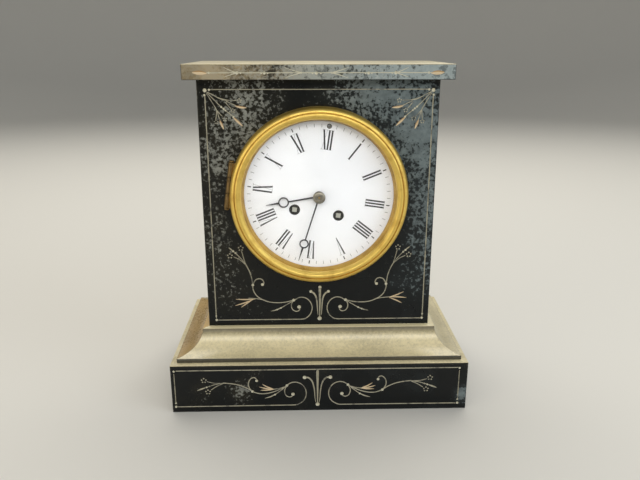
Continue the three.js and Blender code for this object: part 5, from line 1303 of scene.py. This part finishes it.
# %% Figures and minutes
FIGURES = ["XII", "I", "II", "III", "IIII", "V", "VI", "VII", "VIII", "IX", "X", "XI"]
FIGURE_FOOT, FIGURE_HEAD = 35.0, 49.2
STROKE, HAIR, SERIF = 1.2, 0.16, 0.75
LETTER_WIDTH = {"I": 2.12, "V": 3.3, "X": 3.9}
V_LEAN, V_FOOT, X_LEAN = 1.45, 0.6, 1.2
TICK_FOOT, TICK_HEAD = 50.8, 53.4
MINUTE_TICK, HOUR_TICK = 0.26, 0.8
INK_HEIGHT, INK_SINK = 0.05, 0.02


def bar(foot, head, foot_width, head_width):
    """The four corners of a stroke between two points, each a distance to the side and a radius."""
    (a, r), (b, s) = foot, head
    low, high = foot_width / 2, head_width / 2
    return [(a - low, r), (a + low, r), (b + high, s), (b - high, s)]


def letter(kind, at):
    """The strokes of one letter: firm strokes, hairlines and the hairline serifs."""
    foot, head = FIGURE_FOOT, FIGURE_HEAD
    if kind == "I":
        strokes = [bar((at, foot), (at, head), STROKE, STROKE)]
        ends = [(at, foot), (at, head)]
    elif kind == "V":
        strokes = [bar((at, foot), (at - V_LEAN, head), V_FOOT, STROKE),
                   bar((at, foot), (at + V_LEAN, head), HAIR, HAIR)]
        ends = [(at - V_LEAN, head), (at + V_LEAN, head)]
    else:
        strokes = [bar((at + X_LEAN, foot), (at - X_LEAN, head), STROKE, STROKE),
                   bar((at - X_LEAN, foot), (at + X_LEAN, head), HAIR, HAIR)]
        ends = [(at + side * X_LEAN, r) for side in (-1, 1) for r in (foot, head)]
    width = 2 * SERIF + STROKE / 2
    return strokes + [bar((side, r - HAIR / 2), (side, r + HAIR / 2), width, width) for side, r in ends]


outlines, turns = [], []
for hour, figure in enumerate(FIGURES):
    at = -sum(LETTER_WIDTH[kind] for kind in figure) / 2
    for kind in figure:
        strokes = letter(kind, at + LETTER_WIDTH[kind] / 2)
        outlines += strokes
        turns += [hour * math.tau / 12] * len(strokes)
        at += LETTER_WIDTH[kind]
for minute in range(1, 60):
    width = MINUTE_TICK if minute % 5 else HOUR_TICK
    outlines.append(bar((0, TICK_FOOT), (0, TICK_HEAD), width, width))
    turns.append(minute * math.tau / 60)

side, radius = np.moveaxis(np.array(outlines), -1, 0)
turn = np.array(turns)[:, None]
across = side * np.cos(turn) + radius * np.sin(turn)
up = radius * np.cos(turn) - side * np.sin(turn)
tops = on_dial(across, up, dial_front - INK_HEIGHT)
bottoms = on_dial(across, up, dial_front + INK_SINK)
prisms = np.concatenate([tops, bottoms], axis=1)
PRISM = np.array([(0, 1, 2, 3), (7, 6, 5, 4), (0, 4, 5, 1), (1, 5, 6, 2), (2, 6, 7, 3), (3, 7, 4, 0)])
prism_faces = (PRISM[None] + 8 * np.arange(len(outlines))[:, None, None]).reshape(-1, 4).tolist()
piece("dial_figures", as_mesh(shape(prisms, prism_faces), [ink]), "dial", stands_for=False)
print(len(outlines), "strokes on the dial")

# %% [markdown]
# ## The holes in the dial
#
# A key goes in through the two large holes, and the eye sees only black round the squares inside. The
# movement behind is too open to give that dark by itself, so a short black ring lines each hole: a dark
# sheet as painted shade, where the hole would be dark with shadow. A thin painted ring goes round the
# small hole of the regulator, at XII.

# %% Linings of the holes
LINING_BORE, LINING_DEPTH = 2.7, 1.1
LINING_PRESS, LINING_SHORT = 0.05, 0.02
RING_INK, RING_GAP = 0.45, 0.02
INK_SEGMENTS = 32


def dial_ring(name, place, inner, outer, front, back, segments, material):
    """A plain ring round a place on the dial, between two depths."""
    profile = [(inner, front), (outer, front), (outer, back), (inner, back)]
    ring = as_mesh(turned(profile, (*place, 0), segments=segments), [material])
    piece(name, ring, "dial", stands_for=False)


# Each lining is painted shade: a black sleeve standing in for the shadow inside the hole.
for number, place in enumerate(winding_places, start=1):
    dial_ring(f"winding_shade_lining_{number}", place, LINING_BORE, WINDING_HOLE + LINING_PRESS,
              dial_front + LINING_DEPTH, dial_back - LINING_SHORT, HOLE_SEGMENTS, hole_shade_black)
ring_inner = REGULATOR_HOLE + RING_GAP
dial_ring("regulator_ring", regulator_place, ring_inner, ring_inner + RING_INK,
          dial_front - INK_HEIGHT, dial_front + INK_SINK, INK_SEGMENTS, ink)
print(len(winding_places), "winding holes are lined with black")

# %% [markdown]
# ## The moon hands
#
# The hands are sawn from thin steel and blued: a hub, a slim stem, a ring like a hollow moon and a
# point. The stem and the point are flat bars with round sides, and the hub and the moon are rings with
# eased edges. Joined, they make one hand, which is turned to its hour about the dial's centre.

# %% Hands
HAND_EASE, STEM_EASE = 0.2, 0.3
STEM_WIDTH, STEM_END = 1.15, 0.9
TIP_BASE, TIP_END = 1.5, 0.25
MOON_RIM, HUB_RIM = 0.95, 1.4
STEM_OVERLAP = 0.5
MOON_SEGMENTS = 56


def flat_bar(foot, head, foot_width, head_width, front, back):
    """A tapered bar up the hand with its four edges eased."""
    section = rounded([(-0.5, -1), (0.5, -1), (0.5, 1), (-0.5, 1)], STEM_EASE)
    run, width = np.array([[foot], [head]]), np.array([[foot_width], [head_width]])
    depth = (front + back) / 2 + (back - front) / 2 * section[:, 1]
    points = np.stack(np.broadcast_arrays(section[:, 0] * width, run, depth), axis=-1)
    return points, grid_faces(2, len(section)) + end_caps(2, len(section))


def flat_ring(inner, outer, height, front, back):
    """A flat ring with eased edges round a point so far up the hand."""
    profile = rounded([(inner, front), (outer, front), (outer, back), (inner, back)], HAND_EASE)
    radius, behind = profile.T[:, :, None]
    angle = np.linspace(0, math.tau, MOON_SEGMENTS, endpoint=False)[None]
    points = np.stack([radius * np.sin(angle), height + radius * np.cos(angle), behind + 0 * angle], axis=-1)
    return points, grid_faces(len(profile), MOON_SEGMENTS, close_rows=True)


def moon_hand(name, node, bore, moon_at, moon_radius, length):
    """Hub, stem, moon and point, turned clockwise from XII to where the node's own tip lies."""
    front, back = level(node)
    corners = np.array([v.co for v in frame["nodes"][node].data.vertices]) - dial_centre
    tip = corners[np.argmax(np.linalg.norm(corners, axis=1))]
    angle = math.atan2(tip @ ACROSS, tip @ UP)
    inner, hub = moon_radius - MOON_RIM, bore + HUB_RIM
    parts = [
        flat_ring(bore, hub, 0, front, back),
        flat_bar(hub - STEM_OVERLAP, moon_at - inner - STEM_OVERLAP, STEM_WIDTH, STEM_END, front, back),
        flat_ring(inner, moon_radius, moon_at, front, back),
        flat_bar(moon_at + inner + STEM_OVERLAP, length, TIP_BASE, TIP_END, front, back),
    ]
    meshes = []
    for points, faces in parts:
        x, z, behind = np.moveaxis(points, -1, 0)
        across = x * math.cos(angle) + z * math.sin(angle)
        up = z * math.cos(angle) - x * math.sin(angle)
        meshes.append(as_mesh(shape(on_dial(across, up, behind), faces), [metals["blued_steel"]]))
    piece(name, worked(meshes[0], "UNION", meshes[1:]), node)
    print(name, f"points {math.degrees(angle) % 360:.1f} degrees round from XII")


moon_hand("hour_hand_blued", "hour_hand", bore=2.7, moon_at=26.7, moon_radius=4.0, length=40)
moon_hand("minute_hand_blued", "minute_hand", bore=1.9, moon_at=37.6, moon_radius=3.55, length=51.6)

# %% Collet
COLLET_RADIUS, COLLET_BORE, COLLET_SEGMENTS = 4.6, 1.2, 64
COLLET_LIP, COLLET_EDGE, COLLET_CHAMFER = 0.3, 0.5, 0.15
collet_front, collet_back = level("hand_collet")
collet_profile = np.vstack([
    [(COLLET_BORE, collet_back), (COLLET_BORE, collet_front + COLLET_CHAMFER)],
    [(COLLET_BORE + COLLET_LIP, collet_front)],
    quarter((COLLET_BORE + 2 * COLLET_LIP, collet_front), (COLLET_RADIUS, collet_back - COLLET_EDGE)),
    [(COLLET_RADIUS, collet_back - COLLET_CHAMFER), (COLLET_RADIUS - COLLET_CHAMFER, collet_back)],
])
collet = turned(collet_profile, segments=COLLET_SEGMENTS)
built_piece("collet_turned", "hand_collet", collet, material=metals["aged_steel"])
print(f"a collet of {2 * COLLET_RADIUS} mm across")

# %% [markdown]
# ## Bell and pendulum bob
#
# Behind the movement hang a cup-shaped bell and a lens-shaped bob. Both are turned: the bell from two
# quarter ellipses, one outside and one inside, and the bob from half of a lens. A bore in the bob takes
# the rod.

# %% Bell
BELL_RADIUS, BELL_HOLE, BELL_WALL = 30, 1.6, 1.4
BELL_STEPS = 20
bell_rim, bell_crown = level("bell")
bell_depth = bell_crown - bell_rim
bell_low, bell_high = box_of("bell")
bell_across, bell_up, _ = place_of(MM * (bell_low + bell_high) / 2)


def bell_curve(radius, depth):
    """A quarter ellipse from the rim to the hole in the crown."""
    angle = np.linspace(0, math.acos(BELL_HOLE / radius), BELL_STEPS)
    return np.stack([radius * np.cos(angle), bell_rim + depth * np.sin(angle)], axis=-1)


outside = bell_curve(BELL_RADIUS, bell_depth)
inside = bell_curve(BELL_RADIUS - BELL_WALL, bell_depth - BELL_WALL)
built_piece("bell_turned", "bell", turned(np.vstack([outside, inside[::-1]]), (bell_across, bell_up, 0)))
print(f"a bell of {2 * BELL_RADIUS} mm across")

# %% Pendulum bob
BOB_STEPS, BOB_SEGMENTS, BOB_FULLNESS = 29, 96, 0.8
BORE_HALF, BORE_ARRIS, BORE_STEPS = np.array([1.3, 1.3, 20]), 1.2, 5
bob_low, bob_high = box_of("pendulum_bob")
rod_low, rod_high = box_of("pendulum_rod")
bob_radius, bob_half = (bob_high - bob_low)[:2] / 2
bob_across = (rod_low[0] + rod_high[0]) / 2
bob_depth = (bob_low[1] + bob_high[1]) / 2
bob_centre = np.array([bob_across, bob_depth, bob_low[2] + bob_radius])
lens = np.linspace(0, math.pi, BOB_STEPS)
bob_profile = np.stack([bob_radius * np.sin(lens) ** BOB_FULLNESS, -bob_half * np.cos(lens)], axis=-1)
bob = turned(bob_profile, place_of(MM * bob_centre), segments=BOB_SEGMENTS, closed=False)
bore_points, bore_faces, _ = slab(bob_centre - BORE_HALF, bob_centre + BORE_HALF, BORE_ARRIS, BORE_STEPS)
built_piece("bob_turned", "pendulum_bob", bob, cut=[shape(bore_points, bore_faces)])
print(f"a bob of {2 * bob_radius:.0f} mm across")

# %% [markdown]
# ## The back ring and its door
#
# At the back a brass ring, drawn up by two straps, clamps the movement in the case. Its round door has
# a knob and swings on a small hinge. Both are turned pieces with a leaf and a knuckle joined on.

# %% Back ring
RING_OPENING, RING_THICKNESS = 40, 3
RING_CHAMFER_OUT, RING_CHAMFER_DEEP = 1.4, 1
STRAP_PLACES = [(side * 44, -14) for side in (-1, 1)]
STRAP_HOLE, STRAP_SEGMENTS = 1.8, 24
BACK_KNUCKLE, BACK_KNUCKLE_HALF = 1.8, 4.4
LUG_HALF, LUG_ROOT = 1.45, 0.5
back_hinge_across, _, back_hinge_behind = joint_place("back_door_hinge")
back_hinge = (back_hinge_across, 0, back_hinge_behind)
door_knuckle = (BACK_KNUCKLE_HALF + RUNNING_GAP, 3 * BACK_KNUCKLE_HALF + RUNNING_GAP)
ring_radius = reach("back_ring")
ring_front = level("back_ring")[0]
ring_back = ring_front + RING_THICKNESS
ring_profile = rounded([
    (RING_OPENING, ring_front), (ring_radius, ring_front), (ring_radius, ring_back - RING_CHAMFER_DEEP),
    (ring_radius - RING_CHAMFER_OUT, ring_back), (RING_OPENING, ring_back),
], EASE)
built_piece("back_ring_turned", "back_ring", turned(ring_profile, segments=RING_SEGMENTS), [
    block((back_hinge_across - LUG_HALF, -BACK_KNUCKLE_HALF, ring_back - LUG_ROOT),
          (back_hinge_across + LUG_HALF, BACK_KNUCKLE_HALF, back_hinge_behind)),
    knuckle(-BACK_KNUCKLE_HALF, BACK_KNUCKLE_HALF, BACK_KNUCKLE, back_hinge),
    knuckle(0, door_knuckle[1], PIN_RADIUS, back_hinge),
], [drill("back_ring", STRAP_HOLE, place, STRAP_SEGMENTS) for place in STRAP_PLACES])
print(f"a back ring of {2 * ring_radius:.0f} mm across")

# %% Back door
DOOR_RADIUS, DOOR_THICKNESS = 42, 1.5
DOOR_RIM, DOOR_RIM_FOOT, DOOR_SUNK = 2.2, 2.8, 0.5
DOOR_LEAF = 6
BORE_PASS = 1
KNOB_AT, KNOB_EASE, KNOB_SEGMENTS = 37, 0.5, 40
KNOB = [(0, -1), (1.2, -1), (1.2, 1.4), (2.4, 2.2), (2.4, 3.4), (1.4, 4), (0, 4)]
door_front = level("back_door")[0]
door_back = door_front + DOOR_THICKNESS
door_profile = rounded([
    (0, door_front), (DOOR_RADIUS, door_front), (DOOR_RADIUS, door_back), (DOOR_RADIUS - DOOR_RIM, door_back),
    (DOOR_RADIUS - DOOR_RIM_FOOT, door_back - DOOR_SUNK), (0, door_back - DOOR_SUNK),
], EASE, closed=False)
knob_profile = rounded([(radius, door_back + height) for radius, height in KNOB], KNOB_EASE, closed=False)
door_bore = knuckle(BACK_KNUCKLE_HALF - BORE_PASS, door_knuckle[1] + BORE_PASS,
                    PIN_RADIUS + RUNNING_GAP, back_hinge)
built_piece("back_door_turned", "back_door", turned(door_profile, segments=RING_SEGMENTS, closed=False), [
    block((DOOR_RADIUS - DOOR_LEAF, door_knuckle[0], door_front),
          (back_hinge_across, door_knuckle[1], door_back)),
    knuckle(*door_knuckle, BACK_KNUCKLE, back_hinge),
    turned(knob_profile, (-KNOB_AT, 0, 0), segments=KNOB_SEGMENTS, closed=False),
], [door_bore])
print(f"a back door of {2 * DOOR_RADIUS} mm across")

# %% [markdown]
# ## The movement
#
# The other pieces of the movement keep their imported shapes, because a gear or a plate is already right.
# Their points are joined and their edges eased by two modifiers, and each gets the finish of its slot.

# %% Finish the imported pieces
MOVEMENT_EASE, BASE_EASE = 0.12, 0.4
EASE_SEGMENTS, EASE_ANGLE = 2, 32
JOIN_DISTANCE = 1e-6
WINDING_ARBORS = ("going_winding_arbor", "strike_winding_arbor")
HIGHLIT_END_DEPTH = 0.4


def winding_finish(name, oiled_and_shaded, rubbed_and_highlit):
    """Steel dark with old oil and painted shade; the end of each square is bright, rubbed by the key and
    painted as a highlight.
    """
    finish = Finish(name)
    end = min(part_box(node)[0].y for node in WINDING_ARBORS)
    # Painted highlight and wear on the end face of each square; the rest is dark as painted shade and old
    # oil.
    bright = 1 - finish.step(finish.axis("Y"), end, end + MM * HIGHLIT_END_DEPTH)
    wear = finish.noise(1.5, detail=3)
    finish.set(Base_Color=finish.mix(bright, oiled_and_shaded, rubbed_and_highlit), Metallic=1.0, Roughness=wear * 0.2 + 0.25)
    return finish.material


# Dark oiled steel in painted shade, and a bright end that is partly a painted highlight.
winding_steel = winding_finish("winding_steel", seen(40, 39, 36), seen(206, 206, 198))
replaced = {name for made in bpy.data.objects for name in made.get("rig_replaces", [])}
kept = [node for node in frame["nodes"] if node not in replaced]
for node in kept:
    made = frame["nodes"][node]
    made.data.materials.clear()
    made.data.materials.append(winding_steel if node in WINDING_ARBORS else finish_of[slot_of[node]])
    weld = made.modifiers.new("join", "WELD")
    weld.merge_threshold = JOIN_DISTANCE
    ease = made.modifiers.new("ease", "BEVEL")
    ease.width = MM * (BASE_EASE if slot_of[node] == "slate" else MOVEMENT_EASE)
    ease.segments = EASE_SEGMENTS
    ease.limit_method = "ANGLE"
    ease.angle_limit = math.radians(EASE_ANGLE)
    ease.harden_normals = True
print(len(kept), "packed pieces kept:", ", ".join(sorted(kept)))

# %% [markdown]
# ## Light
#
# A broad soft lamp stands above and behind the clock, like a window, so upward faces shine and upright
# ones stay dark. A wide, shallow one behind the camera brings out the dial and the gold. A cooler one
# lights the right, and a faint warm one the left. All are weak enough for the white dial to keep its
# tone. The floor sweeps up all round into a low pale wall, so no view shows an edge behind the clock.
# Lengths in this step are in metres.

# %% Floor, backdrop and lamps
FLOOR_RADIUS, SWEEP, WALL_TOP = 2.2, 1.0, 2.6
SWEEP_STEPS, BOWL_SEGMENTS = 16, 96
CLOCK_MIDDLE = np.array([0, 0, 0.13])


def studio_bowl():
    """A flat round floor that sweeps up in a quarter circle to a low round wall, so it has no edge."""
    angle = np.linspace(0, math.pi / 2, SWEEP_STEPS)
    swept, wall = FLOOR_RADIUS + SWEEP * np.sin(angle), FLOOR_RADIUS + SWEEP
    radius = np.concatenate([[FLOOR_RADIUS / 2], swept, [wall]])[:, None]
    height = np.concatenate([[0], SWEEP * (1 - np.cos(angle)), [WALL_TOP]])[:, None]
    turn = np.linspace(0, math.tau, BOWL_SEGMENTS, endpoint=False)[None]
    points = np.stack([radius * np.cos(turn), radius * np.sin(turn), height + 0 * turn], axis=-1)
    rows = len(radius)
    faces = grid_faces(rows, BOWL_SEGMENTS) + end_caps(rows, BOWL_SEGMENTS)[:1]
    mesh = bpy.data.meshes.new("studio")
    mesh.from_pydata(points.reshape(-1, 3).tolist(), [], faces)
    mesh.shade_smooth()
    return mesh


def lamp(name, place, size, power, tint):
    """A soft oblong lamp at a place, facing the middle of the clock, unseen by the camera."""
    data = bpy.data.lights.new(name, "AREA")
    data.shape = "RECTANGLE"
    data.size, data.size_y = size
    data.energy = power
    data.color = tint
    made = bpy.data.objects.new(name, data)
    made.location = place
    facing = CLOCK_MIDDLE - place
    yaw = math.atan2(-facing[0], facing[1])
    pitch = math.atan2(facing[2], math.hypot(facing[0], facing[1]))
    made.rotation_euler = (math.pi / 2 + pitch, 0, yaw)
    made.visible_camera = False
    bpy.context.scene.collection.objects.link(made)


studio_finish = Finish("studio")
studio_finish.set(Base_Color=seen(214, 211, 204), Roughness=0.9, Specular_IOR_Level=0.1)
studio = bpy.data.objects.new("studio", studio_bowl())
studio.data.materials.append(studio_finish.material)
bpy.context.scene.collection.objects.link(studio)

LAMPS = {
    "window": ((0.0, 0.75, 1.25), (2.2, 1.5), 20, (1.0, 0.97, 0.9)),
    "front_window": ((0.05, -1.45, 1.02), (1.6, 0.45), 9.2, (1.0, 0.985, 0.955)),
    "right_sky": ((1.3, -0.8, 0.8), (1.2, 1.2), 9, (0.84, 0.92, 1.0)),
    "left_room": ((-1.2, -0.95, 0.5), (1.0, 1.0), 5, (1.0, 0.92, 0.78)),
}
for name, settings in LAMPS.items():
    lamp(name, *settings)

AIR_TINT, AIR_STRENGTH = (0.9, 0.95, 1.0, 1), 0.28
world = bpy.data.worlds.new("studio_air")
bpy.context.scene.world = world
world.use_nodes = True
air = world.node_tree.nodes["Background"]
air.inputs["Color"].default_value = AIR_TINT
air.inputs["Strength"].default_value = AIR_STRENGTH
print(len(LAMPS), "lamps and a pale floor")
